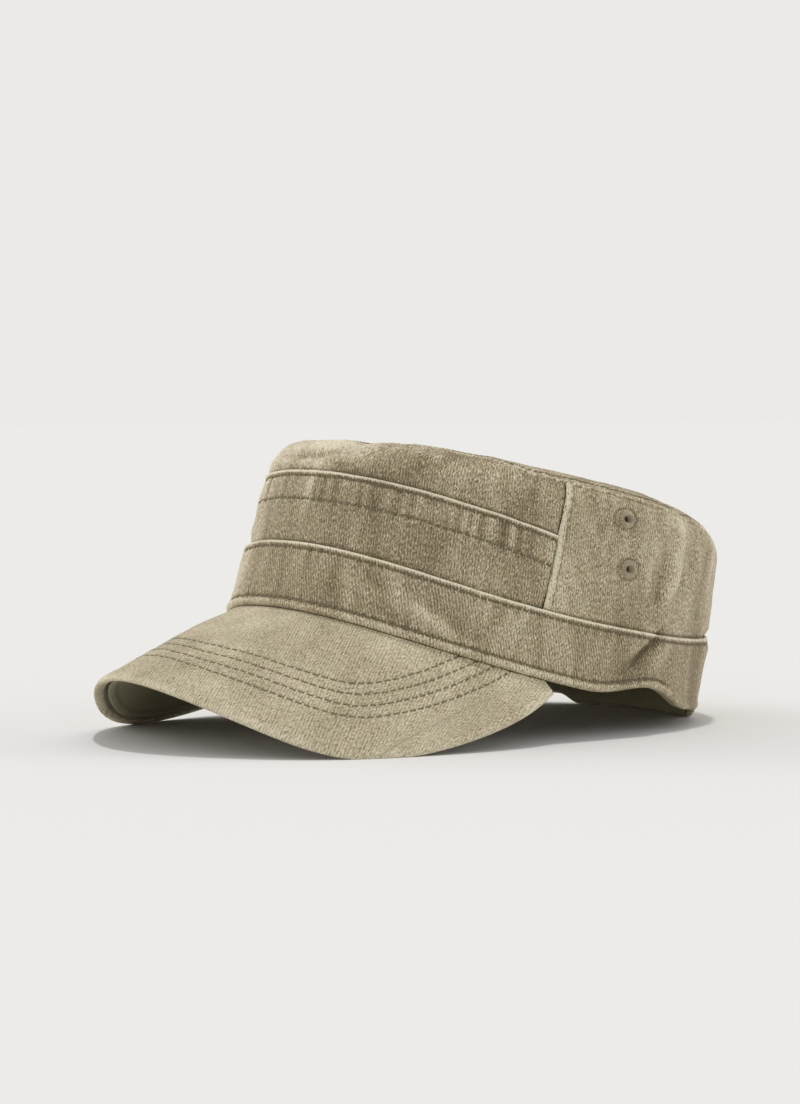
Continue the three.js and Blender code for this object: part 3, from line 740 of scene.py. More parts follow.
def build_front_lower():
    t, arcs = span_columns(-front_end, front_end, 0.5, front_edge_steps)
    band_top, second, fold = (level(name, t) for name in ("band_top", "second_row", "tuck_fold"))
    low = band_top - band_lap
    edge = (front_cloth + fold_swell) / 2
    outer = ladder(low, (second - 2.5, 22), (second + 1.5, 9), (fold - 4, 9), (fold - edge, 11))
    face = lower_face(t, outer) + front_cloth
    face = face + fold_swell * smooth(outer, fold - fold_row_depth - 0.2, fold - 1.2)
    relief, paler = lower_relief(t, outer)
    fold_heights, fold_outs = rolled(fold - edge, front_lap + edge, edge, 20, 180, 8)
    inner = steps(fold - edge, low, 16)[:, 1:]
    heights = np.concatenate([outer, fold_heights, inner], 1)
    outs = np.concatenate([face + relief, fold_outs + 0 * t, lower_face(t, inner)], 1)
    width = heights.shape[1]
    # The folded edge is painted pale, partly as worn edge and partly as painted highlight, and painted shade
    # darkens the front away from the left softbox
    ridge = 1.5 * smooth(outer, fold - 1.3, fold - 0.7) - front_painted_shade * painted_shade_share(t)
    wear_and_shade = padded(paler + ridge + edge_shadow(outer, band_top), width, 0)
    wear_and_shade[:, relief.shape[1] : relief.shape[1] + 5] = 1.3
    seam = padded(nearest(outer - fold + fold_row_depth, outer - second), width, far_from_seams)
    wear_and_shade = wear_and_shade + seam_shade(arcs)
    return lofted("front_lower_cloth", cloth(t, heights, outs), arcs, heights, wear_and_shade, False, seam)


def rear_face(t, height):
    """How far out the rear cloth's outer face is, with its folded ribs beside the side seams."""
    arc = arc_of(t)
    from_end = np.minimum(arc - arc_of(rear_start), full_arc - arc_of(rear_start) - arc)
    above_band = smooth(height, level("band_top", t), level("band_top", t) + 1.5)
    rib = seam_rib_swell * (1 - smooth(from_end, seam_rib_width * 0.92, seam_rib_width * 1.25))
    beat = 0.8 - 0.2 * np.cos(2 * np.pi * height / wall_pitch)
    groove = -0.28 * bump(from_end - seam_rib_width, 0.55) * beat * above_band
    face = panel_cloth + rib * above_band + groove
    return face - edge_turn_in(from_end, 0.9), from_end, groove


def build_rear():
    t, arcs = span_columns(rear_start, 2 * np.pi - rear_start, 0.75, rear_edge_steps)
    band_top, top = level("band_top", t), top_seam(t)
    low = band_top - band_lap
    outer = ladder(
        low, (band_top - 0.5, 5), (band_top + 2, 5), (shoulder(t), 40), (top - panel_round, 14), (top, 6),
    )
    inner = steps(top, low, 22)
    heights = np.concatenate([outer, inner], 1)
    face, from_end, groove = rear_face(t, outer)
    relief = panel_relief(t, outer, 22)
    outs = np.concatenate([face - edge_turn_in(top - outer, panel_round) + relief, 0 * inner], 1)
    # The rib beside each side seam is painted pale as highlight, with a painted shadow line beyond it and in
    # its stitch groove
    wear_and_shade = 0.75 * bump(from_end - 0.8, 1.1) - 0.4 * bump(from_end - seam_rib_width - 0.4, 0.6)
    wear_and_shade = wear_and_shade + 0.5 * relief_tone_and_shade(groove) + relief_tone_and_shade(relief) + fold_shade_and_patches(t, outer) + edge_shadow(outer, band_top)
    # A painted shadow ring round each eyelet's raised threads
    for side, place in eyelet_pairs:
        across = wrapped(t - side * np.radians(place["angle"])) * mean_radius
        away = np.hypot(across, outer - place["height"] * crown_height)
        wear_and_shade = wear_and_shade - 0.95 * bump(away - 4.0, 0.42)
    wear_and_shade = padded(wear_and_shade, heights.shape[1], 0)
    rear = lofted("rear_cloth", cloth(t, heights, outs), arcs, heights, wear_and_shade, False)
    pierce(rear)
    return rear


def build_sweatband():
    t, arcs = ring_columns(360)
    low = foot(t) + 2 * gap
    inner = -sweatband_clearance - sweatband_cloth
    up = steps(low, low + sweatband_height, 16)
    down = up[:, ::-1]
    edge = 0.12 * np.cos(2 * np.pi * arc_of(t) / 7)
    heights = np.concatenate([up, down], 1)
    outs = np.concatenate([0 * up - sweatband_clearance, inner + edge * bump(down - low - 2.5, 2)], 1)
    return lofted("sweatband_cloth", cloth(t, heights, outs), arcs, heights, 0 * heights, True)


def build_top():
    """The top panel in rings, its middle filled on both faces."""
    t = ring_columns(560)[0]
    arc = arc_of(t)
    edge = edge_share(t) - top_gap_share
    middle_share = 0.03
    inward = np.concatenate([[0, 0.15, 0.35, 0.6, 0.9], np.arange(1.3, 7.0, 0.38), np.geomspace(8, 70, 26)])
    inward = inward[None, :]
    depth = inward / inward[0, -1] * (edge - middle_share) * half_width
    near = np.minimum(inward, depth)
    from_edge = near + (depth - near) * smooth(inward, 6, 30)
    shares = edge - from_edge / half_width
    sewn = stitch_groove(arc, from_edge - top_row_depth)
    sewn = sewn + 0.16 * bump(from_edge - 1.4, 2.2) * pucker(arc, 61, 5.0)
    rough, calm = (
        0.35 * waves(points, 62, 14, 30, 90) + 0.07 * waves(points, 63, 14, 6, 12)
        for points in (dome(t, shares), dome(np.zeros((1, 1)), np.zeros((1, 1))))
    )
    uneven = between(calm, rough, smooth(shares, 0.05, 0.16)) * smooth(from_edge, 3, 16)
    outs = panel_cloth - edge_turn_in(from_edge, panel_round) + (sewn + uneven)
    under_shares = shares[:, ::-3]
    grid = over_top(t, np.concatenate([shares, under_shares], 1), np.concatenate([outs, 0 * under_shares], 1))
    count, loop = grid.shape[:2]
    # Painted shade in the stitch groove, and a paler turned edge
    wear_and_shade = padded(relief_tone_and_shade(sewn) + 0.25 * (1 - smooth(from_edge, 0.3, 1.6)), loop, 0)

    last_ring = shares.shape[1] - 1
    j = np.delete(np.arange(loop), last_ring)[None, :]
    quads = quads_of(np.arange(count)[:, None], j, count, loop)
    middle_out = np.arange(count) * loop + last_ring
    caps = [middle_out, middle_out[::-1] + 1]
    points = settled(grid).reshape(-1, 3)
    if signed_volume(points, quads) < 0:
        quads, caps = quads[:, ::-1], [cap[::-1] for cap in caps]
    faces = quads.tolist() + [cap.tolist() for cap in caps]
    order = np.concatenate([quads.ravel(), *caps])
    flat = grid[..., :2].reshape(-1, 2) / 1000
    seam = padded(from_edge - top_row_depth, loop, far_from_seams)
    rows = np.stack([np.broadcast_to(arc, seam.shape), seam], -1).reshape(-1, 2) / 1000
    return new_object("top_cloth", points, faces, flat[order], rows[order], wear_and_shade)


def spline_point(controls, share):
    """A point on the smooth curve that the controls pull along, where share runs from 0 to 1."""
    spans = len(controls) - 1
    everything = np.array([2 * controls[0] - controls[1], *controls, 2 * controls[-1] - controls[-2]])
    place = share * spans
    i = np.clip(np.floor(place).astype(int), 0, spans - 1)
    f = (place - i)[..., None]
    weights = (1 - f) ** 3, 3 * f**3 - 6 * f**2 + 4, -3 * f**3 + 3 * f**2 + 3 * f + 1, f**3
    return sum(weight * everything[i + k] for k, weight in enumerate(weights)) / 6


def wall_out(angle, height):
    """Points in the seam between the crown and the peak."""
    return wall(angle, height) + wall_normals(angle, height) * seam_face


end_angle = np.array(peak_end)
half_rim = [
    np.array([
        row["across"] * (half_width + peak_flare),
        -(row["along"] * half_length + row["forward"] * peak_reach),
        foot(0.0) - row["down"] * peak_drop,
    ])
    for row in rim_controls
] + [wall_out(end_angle, foot(end_angle))]
rim_points = [point * np.array([-1, 1, 1]) for point in half_rim[:0:-1]] + half_rim


def rim_point(side):
    """A point on the peak's rim, where side runs from -1 at the wearer's right end to 1 at the left."""
    return spline_point(rim_points, (side + 1) / 2)


def peak_seam(side):
    angle = side * peak_end
    return wall_out(angle, foot(angle) - gap)


def peak_width(side):
    return np.linalg.norm(rim_point(side) - peak_seam(side), axis=-1)


def peak_surface(side, share):
    """Points on the peak's upper face, slightly arched between its seam at share 0 and its rim at 1."""
    seam, rim = peak_seam(side), rim_point(side)
    fullness = np.minimum(1, peak_width(side) / (peak_reach * 0.7))
    point = seam + (rim - seam) * share[..., None]
    point[..., 2] += peak_arch * 4 * share * (1 - share) * fullness
    return point


def peak_normals(side, distance):
    return upward_normals(peak_surface, side, np.maximum(distance / peak_width(side), 0), 0.002)


def peak_point(side, distance, rise):
    """Points off the peak's upper face: distance from the crown seam, and distance up from the face."""
    side, distance, rise = np.broadcast_arrays(side, distance, rise)
    share = np.maximum(distance / peak_width(side), 0)
    angle = side * peak_end
    outward = unit(wall_normals(angle, foot(angle)) * np.array([1, 1, 0]))
    tucked = outward * np.minimum(distance, 0)[..., None]
    return peak_surface(side, share) + tucked + peak_normals(side, distance) * rise[..., None]


def side_of_width(width):
    """The side beyond which the peak is narrower than a width."""
    sides = np.linspace(0.5, 1, 4001)
    return sides[np.argmax(peak_width(sides) < width)]


peak_limit = side_of_width(peak_end_width)
lining_limit = side_of_width(peak_full_width)


def peak_fullness(side):
    """The peak's thickness as a share, which is less at its narrow ends."""
    return between(0.55, 1, np.minimum(1, peak_width(side) / peak_full_width))


def peak_sides(limit, count):
    """Sides that divide the rim into equal lengths, and those lengths."""
    fine = np.linspace(-limit, limit, 4001)
    lengths = lengths_along(rim_point(fine))
    arcs = np.linspace(0, lengths[-1], count)
    return np.interp(arcs, lengths, fine)[:, None], arcs


def rim_sine(side):
    """The sine of the angle between the rim and the line from the seam to the rim."""
    tangent = unit(rim_point(side + 0.001) - rim_point(side - 0.001))
    ruling = unit(rim_point(side) - peak_seam(side))
    return np.sqrt(np.clip(1 - (tangent * ruling).sum(-1) ** 2, 0.05, 1))


def row_path(inset):
    """A row of stitches: its sides, distances from the crown seam, and lengths along it from its middle."""
    sides = np.linspace(-peak_limit, peak_limit, 3001)
    distance = np.maximum(peak_width(sides) - inset / rim_sine(sides), 0.0)
    lengths = lengths_along(peak_point(sides, distance, 0 * distance))
    return sides, distance, lengths - lengths[len(lengths) // 2]


peak_rows = [row_path(inset) for inset in peak_row_insets]


def nearest_row(side, distance):
    """The distance from the peak's nearest row of stitches, the place along it, and the rim's inset."""
    inset = (peak_width(side) - distance) * rim_sine(side)
    off = np.stack([inset - row for row in peak_row_insets])
    along = np.stack([np.broadcast_to(np.interp(side, path[0], path[2]), inset.shape) for path in peak_rows])
    choice = np.abs(off).argmin(0)[None]
    return np.take_along_axis(off, choice, 0)[0], np.take_along_axis(along, choice, 0)[0], inset


def peak_unevenness(side, distance):
    """The worn peak's slight waves, and the soft swell of its side towards the wearer's right."""
    width = peak_width(side)
    points = peak_surface(side, np.maximum(distance / width, 0))
    uneven = 0.30 * waves(points, 72, 14, 25, 80) + 0.07 * waves(points, 73, 14, 6, 14)
    far_side = 1.2 * bump(side + 0.30, 0.34) * smooth(distance, 0, 30)
    return (uneven * (1 - smooth(distance, width - 9, width - 2)) + far_side) * smooth(distance, 0, 8)


def build_peak():
    s, arcs = peak_sides(peak_limit, 430)
    full = peak_fullness(s)
    width = peak_width(s)
    reach = rim_length * rim_radius * full
    end = width - reach
    start = -peak_tuck * full
    top = ladder(start, (0 * end, 2), (end, 165))
    off_row, along_row, inset = nearest_row(s + 0 * top, top)
    last_inset = peak_row_insets[-1]
    sewn = smooth(inset, first_row_inset - 4, first_row_inset)
    sewn = sewn * (1 - smooth(inset, last_inset, last_inset + 4))
    relief = 0.75 * stitch_groove(along_row, off_row, stitch_pitch) + 0.05 * sewn * pucker(along_row, 71, 6.5)
    roll = np.radians(np.linspace(90, -90, 15))[None, 1:]
    rim_depth = 2 * rim_radius - rim_raise
    roll_at = end + reach * np.cos(roll)
    roll_rise = rim_depth / 2 * full * (np.sin(roll) - 1)
    under = steps(end - 1.5 * full, start, 14)
    distance = np.concatenate([top, roll_at, under], 1)
    rise = np.concatenate([relief, roll_rise, 0 * under - peak_cloth * full], 1)
    rise = rise + peak_unevenness(s + 0 * distance, distance)
    rim_paleness = 0.12 + 0.35 * bump(roll - 0.5, 0.5)
    # Paler within 3 mm of the rim, as worn edge, and painted light on the peak's middle beside the crown seam
    worn_and_lit = 0.2 * smooth(inset, 3, 0) + 0.16 * bump(s + 0.05, 0.5) * bump(top - 8, 16)
    wear_and_shade = np.concatenate([relief_tone_and_shade(relief) + worn_and_lit, 0 * roll_at + rim_paleness, 0 * under], 1)
    seam = padded(off_row, distance.shape[1], far_from_seams)
    seam_along = padded(along_row, distance.shape[1], 0)
    piece = lofted("peak_cloth", peak_point(s, distance, rise), arcs, distance, wear_and_shade, False, seam, seam_along)
    depth = np.concatenate([top, end + np.linspace(0.1, 1.6, roll.size) * reach, under], 1)
    lay_flat(piece, s, depth / width)
    return piece


def lay_flat(piece, s, shares):
    """Gives the peak's cloth the flat places it was cut from, unrolled from its middle to both sides."""
    inner, outer = (line(s + 0 * shares)[..., :2] for line in (peak_seam, rim_point))
    flat = inner + (outer - inner) * shares[..., None]
    across = peak_surface(np.linspace(0, 0.9, 400), np.full(400, 0.5))[:, [0, 2]]
    steep_side = 1.8
    aside = np.abs(flat[..., 0])
    beyond = np.maximum(aside - across[-1, 0], 0) * steep_side
    flat[..., 0] = np.sign(flat[..., 0]) * (np.interp(aside, across[:, 0], lengths_along(across)) + beyond)
    corners = np.empty(len(piece.data.loops), np.int32)
    piece.data.loops.foreach_get("vertex_index", corners)
    layer = piece.data.uv_layers["cloth"].data
    layer.foreach_set("uv", (flat.reshape(-1, 2)[corners] / 1000).astype(np.float32).ravel())


def build_lining():
    s, arcs = peak_sides(lining_limit, 260)
    full, width = peak_fullness(s), peak_width(s)
    start = -peak_tuck * full + gap
    end = width - 2.4 * rim_radius * full - gap
    top = steps(start, end, 12)
    under = steps(end, start, 60)
    upper = -peak_cloth - gap
    inset = width - under
    ridge = 0.35 * bump(inset - 8.6, 0.8) - 0.35 * bump(inset - 7.0, 0.8)
    fine = 0.06 * waves(peak_surface(s, np.maximum(under / width, 0)), 81, 12, 6, 14)
    rise = np.concatenate([0 * top + upper, upper - lining_cloth + ridge + fine], 1)
    distance = np.concatenate([top, under], 1)
    # The underside's ridge is painted paler and its groove darker, as painted light and shade
    wear_and_shade = np.concatenate([0 * top, -ridge], 1)
    return lofted("lining_cloth", peak_point(s, distance, rise), arcs, distance, wear_and_shade, False)


def thread_chain(name, centres, outward):
    """Stitches joined into one mesh. centres is (stitches, points, 3), and outward the cloth's normals."""
    count, along = centres.shape[:2]
    ahead = unit(np.gradient(centres, axis=1))
    aside = unit(np.cross(ahead, outward))
    up = np.cross(aside, ahead)
    sides = 6
    turn = np.linspace(0, 2 * np.pi, sides, endpoint=False)[:, None]
    taper = np.interp(np.linspace(0, 1, along), [0, 0.15, 0.5, 0.85, 1], [0.55, 0.95, 1.0, 0.95, 0.55])
    ring = aside[:, :, None] * np.cos(turn) + up[:, :, None] * np.sin(turn)
    points = settled(centres[:, :, None] + ring * (taper * thread_radius)[:, None, None]).reshape(-1, 3)
    i = (np.arange(count)[:, None] * along + np.arange(along - 1)).reshape(-1, 1)
    quads = quads_of(i, np.arange(sides)[None, :], count * along, sides)
    first = np.arange(count)[:, None] * along * sides + np.arange(sides)
    ends = [first[:, ::-1], first + (along - 1) * sides]
    if signed_volume(points, quads) < 0:
        quads, ends = quads[:, ::-1], [end[:, ::-1] for end in ends]
    faces = quads.tolist() + ends[0].tolist() + ends[1].tolist()
    empty = np.zeros((sum(len(face) for face in faces), 2))
    return new_object(name, points, faces, empty, empty, np.zeros(len(points)))


def stitch_points(length):
    """Places along a stitch in millimetres, and how far the thread sinks there."""
    share = np.array([-1, -0.75, -0.4, 0, 0.4, 0.75, 1])
    sink = np.array([0.42, 0.10, 0.0, -0.03, 0.0, 0.10, 0.42])
    return share * length / 2, sink


def wall_stitches(end, height_of, face_of, seed):
    """Centres and normals of a row on the wall that runs as far to both sides of the front."""
    chance = np.random.default_rng(seed)
    first, last = arc_of(-end), arc_of(end)
    middles = (np.arange(np.ceil(first / wall_pitch), np.floor(last / wall_pitch)) + 0.5) * wall_pitch
    offsets, sink = stitch_points(wall_stitch)
    t = angle_of(middles[:, None] + offsets[None, :])
    height = height_of(t) + chance.normal(0, 0.07, len(middles))[:, None] + offsets[None, :] * 0.05
    return cloth(t, height, face_of(t, height) - sink), wall_normals(t, height)


def wall_rows(name, *rows):
    centres, outward = (np.concatenate(parts) for parts in zip(*(wall_stitches(*row) for row in rows)))
    return thread_chain(name, centres, outward)


def build_band_stitches():
    fold_face = band_face - sunk_depths["band_fold"]
    hem_face = band_face + hem_swell / 2 - sunk_depths["hem"]
    return wall_rows(
        "band_stitches",
        (np.pi, lambda t: level("band_top", t) - band_row_depth, lambda t, h: fold_face + 0 * t, 91),
        (hem_stitch_end, lambda t: foot(t) + hem_height, lambda t, h: hem_face + 0 * t, 92),
    )


def build_front_stitches():
    def sunk_face(t, height):
        return lower_face(t, height) + front_cloth - sunk_depths["front"]

    end = front_end - 0.005
    return wall_rows(
        "front_stitches",
        (end, lambda t: level("tuck_fold", t) - fold_row_depth, sunk_face, 93),
        (end, lambda t: level("second_row", t), sunk_face, 94),
    )


def build_rear_stitches():
    """The rows that hold the rear cloth's folded edges."""
    offsets, sink = stitch_points(wall_stitch)
    centres, outward = [], []
    for side in (1, -1):
        at = angle_of(arc_of(rear_start) + seam_rib_width) * side
        low, high = level("band_top", at) + 1.5, top_seam(at) - 1.5
        middles = (np.arange(np.ceil(low / wall_pitch), np.floor(high / wall_pitch)) + 0.5) * wall_pitch
        height = middles[:, None] + offsets[None, :]
        t = np.full(height.shape, at)
        centres.append(cloth(t, height, rear_face(t, height)[0] - sunk_depths["rear"] - sink))
        outward.append(wall_normals(t, height))
    return thread_chain("rear_stitches", np.concatenate(centres), np.concatenate(outward))


def build_top_stitches():
    offsets, sink = stitch_points(wall_stitch)
    count = int(full_arc / 2 / wall_pitch)
    middles = (np.arange(-count, count) + 0.5) * wall_pitch
    t = angle_of(middles[:, None] + offsets[None, :])
    shares = edge_share(t) - top_gap_share - top_row_depth / half_width
    centres = over_top(t, shares, panel_cloth - sunk_depths["top"] - sink + 0 * t)
    return thread_chain("top_stitches", centres, upward_normals(dome, t, shares, 0.001))


def build_peak_stitches():
    offsets, sink = stitch_points(peak_stitch)
    centres, outward = [], []
    for sides, distance, lengths in peak_rows:
        shown = lengths[distance > 0.8]
        first, last = np.ceil(shown[0] / stitch_pitch), np.floor(shown[-1] / stitch_pitch)
        places = (np.arange(first, last)[:, None] + 0.5) * stitch_pitch + offsets[None, :]
        side, at = np.interp(places, lengths, sides), np.interp(places, lengths, distance)
        centres.append(peak_point(side, at, peak_unevenness(side, at) - sunk_depths["peak"] - sink))
        outward.append(peak_normals(side, at))
    return thread_chain("peak_stitches", np.concatenate(centres), np.concatenate(outward))


# The section of an eyelet's ring of thread: radius and height above the cloth's inner face
eyelet_section = np.array([
    [1.4, -0.5], [1.4, 0.5], [1.5, 1.15], [1.7, 1.65], [2.1, 2.0], [2.8, 1.95], [3.3, 1.75],
    [3.65, 1.45], [3.8, 1.15], [3.5, 1.0], [1.9, 1.0], [1.9, -0.2], [1.6, -0.5],
])
eyelet_threads = 30
cloth_hole_radius = 1.75


def eyelet_frame(side, place):
    """The middle of an eyelet's hole on the cloth's inner face, and the three directions of its ring."""
    angle = np.array(side * np.radians(place["angle"]))
    height = np.array(place["height"] * crown_height)
    seat = cloth(angle, height, np.array(0.0))
    outward = unit(cloth(angle, height, np.array(panel_cloth)) - seat)
    aside = unit(np.cross([0, 0, 1.0], outward))
    return seat, aside, np.cross(outward, aside), outward


def build_eyelet(side, side_name, place):
    """A stitched air hole: threads laid side by side round a hole."""
    seat, aside, above, outward = eyelet_frame(side, place)
    around = np.linspace(0, 2 * np.pi, 192, endpoint=False)[:, None]
    section_radius, section_height = eyelet_section.T[:, None]
    ripple = np.cos(around * eyelet_threads) * (section_height > 1.1)
    height = section_height + 0.26 * ripple
    radius = section_radius * (1 + 0.03 * np.cos(2 * around + 0.6)) + 0.09 * ripple * (section_radius > 3.4)
    flat = (radius * np.cos(around))[..., None] * aside + (radius * np.sin(around))[..., None] * above
    grid = seat + flat + height[..., None] * outward
    name = "eyelet_thread_" + side_name + "_" + place["name"]
    # The ring's threads are painted paler on their crests and darker between them, as painted light and shade
    return lofted(name, grid, np.linspace(0, 20, 193), radius, 0.35 + 1.3 * ripple, True)


def pierce(piece):
    """Cuts the round holes that the eyelets sit in."""
    sides = 32
    around = np.linspace(0, 2 * np.pi, sides, endpoint=False)[:, None]
    points, faces = [], []
    for number, (side, place) in enumerate(eyelet_pairs):
        seat, aside, above, outward = eyelet_frame(side, place)
        ring = seat + cloth_hole_radius * (np.cos(around) * aside + np.sin(around) * above)
        points += [ring - 4 * outward, ring + 6 * outward]
        near = 2 * sides * number + np.arange(sides)
        beside = np.roll(near, -1)
        faces += np.stack([near, beside, beside + sides, near + sides], -1).tolist()
        faces += [near[::-1].tolist(), (near + sides).tolist()]
    mesh = bpy.data.meshes.new("cutter")
    mesh.from_pydata(settled(np.concatenate(points)).tolist(), [], faces)
    cutter = placed("cutter", mesh)
    modifier = piece.modifiers.new("holes", "BOOLEAN")
    modifier.operation = "DIFFERENCE"
    modifier.object = cutter
    modifier.solver = "EXACT"
    graph = bpy.context.evaluated_depsgraph_get()
    cut = bpy.data.meshes.new_from_object(piece.evaluated_get(graph))
    piece.modifiers.clear()
    piece.data = cut
    bpy.data.objects.remove(cutter)


class Nodes:
    """A short way to add and join shader nodes. owner is a material or a world."""

    def __init__(self, owner):
        owner.use_nodes = True
        self.owner = owner
        self.tree = owner.node_tree
        self.shader = self.tree.nodes.get("Principled BSDF")

    def add(self, kind, inputs=None, **settings):
        node = self.tree.nodes.new(kind)
        for key, value in settings.items():
            setattr(node, key, value)
        self.feed(node, inputs or {})
        return node

    def feed(self, node, inputs):
        """Joins each input of a node to a socket, or sets it where it is a plain value."""
        for key, value in inputs.items():
            if isinstance(value, bpy.types.NodeSocket):
                self.tree.links.new(value, node.inputs[key])
            else:
                node.inputs[key].default_value = value

    def maths(self, operation, first, second, clamp=False):
        node = self.add("ShaderNodeMath", {0: first, 1: second}, operation=operation, use_clamp=clamp)
        return node.outputs[0]

    def weighed(self, *parts):
        """The sum of values, each times its weight."""
        total = 0.0
        for value, weight in parts:
            total = self.maths("ADD", self.maths("MULTIPLY", value, weight), total)
        return total

    def mapped(self, source, angle, across=1, along=1):
        """Coordinates turned by an angle in degrees and scaled."""
        inputs = {"Vector": source, "Rotation": (0, 0, np.radians(angle)), "Scale": (across, along, 1)}
        return self.add("ShaderNodeMapping", inputs).outputs["Vector"]

    def noise(self, source, angle, across, along, detail, roughness):
        """A noise whose grain is stretched along a direction of the cloth."""
        place = self.mapped(source, angle, across, along)
        inputs = {"Vector": place, "Scale": 1.0, "Detail": detail, "Roughness": roughness}
        return self.add("ShaderNodeTexNoise", inputs).outputs["Fac"]

    def ranged(self, value, start, end, at_start, at_end):
        inputs = {"Value": value, "From Min": start, "From Max": end, "To Min": at_start, "To Max": at_end}
        return self.add("ShaderNodeMapRange", inputs, interpolation_type="SMOOTHSTEP").outputs["Result"]

    def ramp(self, value, *stops):
        """A colour over a value. Each stop is a place and a colour."""
        node = self.add("ShaderNodeValToRGB", {"Fac": value})
        elements = node.color_ramp.elements
        for element, (place, colour) in zip(elements[:], (stops[0], stops[-1])):
            element.position = place
            element.color = (*colour, 1)
        for place, colour in stops[1:-1]:
            elements.new(place).color = (*colour, 1)
        return node.outputs["Color"]

    def roughen(self, height, strength, distance):
        """Sets the shader's fine relief."""
        inputs = {"Height": height, "Strength": strength, "Distance": distance}
        self.feed(self.shader, {"Normal": self.add("ShaderNodeBump", inputs).outputs["Normal"]})


def seam_marks(nodes, pitch):
    """Painted shadow in the furrow along each stitch, and a painted highlight on the cloth that stands up
    between two stitches.
    """
    seam = nodes.add("ShaderNodeUVMap", uv_map="seam").outputs["UV"]
    place = nodes.add("ShaderNodeSeparateXYZ", {"Vector": seam}).outputs
    turns = nodes.maths("FRACT", nodes.maths("MULTIPLY", place["X"], 1000 / pitch), 0.0)
    from_middle = nodes.maths("ABSOLUTE", nodes.maths("SUBTRACT", turns, 0.5), 0.0)
    stitch = nodes.ranged(from_middle, 0.30, 0.42, 1.0, 0.0)
    off = nodes.maths("ABSOLUTE", nodes.maths("MULTIPLY", place["Y"], 1000.0), 0.0)
    furrow_shadow = nodes.maths("MULTIPLY", nodes.ranged(off, 0.24, 0.5, 1.0, 0.0), stitch)
    beside = nodes.ranged(off, 0.15, 0.75, 1.0, 0.0)
    return furrow_shadow, nodes.maths("MULTIPLY", beside, nodes.maths("SUBTRACT", 1.0, stitch))


# The distance between two ridges of the twill, in metres, and the wave texture's own scale for one metre
twill_pitch = 0.00112
wave_scale = 0.314


def cloth_material(name, colours, twill_angle, twill_strength, streak, mottle, relief, pitch, slit_dark):
    """A washed twill. colours are dark, middle and light, from the grooves' painted shade to the ridges, worn
    and painted lighter.
    """
    nodes = Nodes(bpy.data.materials.new(name))
    flat = nodes.add("ShaderNodeUVMap", uv_map="cloth").outputs["UV"]
    solid = nodes.add("ShaderNodeTexCoord").outputs["Object"]
    wear_and_shade = nodes.add("ShaderNodeAttribute", attribute_name="wear_and_shade").outputs["Fac"]
    wave_inputs = {
        "Vector": nodes.mapped(flat, twill_angle), "Scale": wave_scale / twill_pitch,
        "Distortion": 4.0, "Detail": 2.0, "Detail Scale": 0.45,
    }
    settings = {"wave_type": "BANDS", "bands_direction": "X", "wave_profile": "SIN"}
    twill = nodes.add("ShaderNodeTexWave", wave_inputs, **settings).outputs["Fac"]
    yarn = nodes.noise(flat, twill_angle, 2500, 800, 2.0, 0.6)
    fibre = nodes.noise(flat, 0, 2300, 620, 3.0, 0.65)
    fleck = nodes.noise(flat, 20, 1500, 1300, 2.0, 0.7)
    cloud = nodes.noise(solid, 0, 70, 70, 4.0, 0.6)
    patch = nodes.noise(solid, 0, 22, 22, 2.0, 0.5)
    run = nodes.noise(flat, 4, 260, 50, 3.0, 0.6)
    grains = (
        (twill, twill_strength), (yarn, streak), (fibre, streak * 0.9), (fleck, streak * 0.5),
        (cloud, mottle), (patch, mottle), (run, mottle * 0.5),
    )
    centred = [(nodes.maths("SUBTRACT", source, 0.5), weight) for source, weight in grains]
    furrow_shadow, tick_highlight = seam_marks(nodes, pitch)
    # Tone: grain, each point's worn paleness with painted light and shade, the painted shadow in each stitch
    # furrow, and the painted highlight between stitches
    tone = nodes.weighed(*centred, (wear_and_shade, 0.45), (furrow_shadow, -slit_dark), (tick_highlight, 0.22))
    tone = nodes.maths("ADD", tone, 0.5, clamp=True)
    dyed = nodes.ramp(tone, (0.0, colours[0]), (0.5, colours[1]), (1.0, colours[2]))
    hue = nodes.noise(solid, 30, 55, 90, 3.0, 0.6)
    tint = nodes.ramp(hue, (0.35, (0.985, 1.0, 0.97)), (0.65, (1.0, 0.985, 0.975)))
    mix_inputs = {"Factor": 1.0, "A": dyed, "B": tint}
    mixed = nodes.add("ShaderNodeMix", mix_inputs, data_type="RGBA", blend_type="MULTIPLY")
    nodes.roughen(nodes.weighed((twill, 0.8), (yarn, 0.9), (fibre, 0.6)), relief, 0.0003)
    nodes.feed(nodes.shader, {
        "Base Color": mixed.outputs["Result"],
        "Roughness": nodes.maths("ADD", nodes.maths("MULTIPLY", yarn, 0.16), 0.82, clamp=True),
        "Specular IOR Level": 0.18,
        "Sheen Weight": 0.12,
        "Sheen Roughness": 0.45,
    })
    return nodes.owner


def thread_material(name, dark, light):
    """A cotton sewing thread."""
    nodes = Nodes(bpy.data.materials.new(name))
    solid = nodes.add("ShaderNodeTexCoord").outputs["Object"]
    grain = nodes.noise(solid, 35, 2600, 900, 2.0, 0.6)
    wear_and_shade = nodes.add("ShaderNodeAttribute", attribute_name="wear_and_shade").outputs["Fac"]
    tone = nodes.maths("ADD", grain, nodes.maths("MULTIPLY", wear_and_shade, 0.35), clamp=True)
    nodes.roughen(grain, 0.4, 0.0001)
    colour = nodes.ramp(tone, (0.3, dark), (0.7, light))
    nodes.feed(nodes.shader, {"Base Color": colour, "Roughness": 0.8, "Specular IOR Level": 0.25})
    return nodes.owner


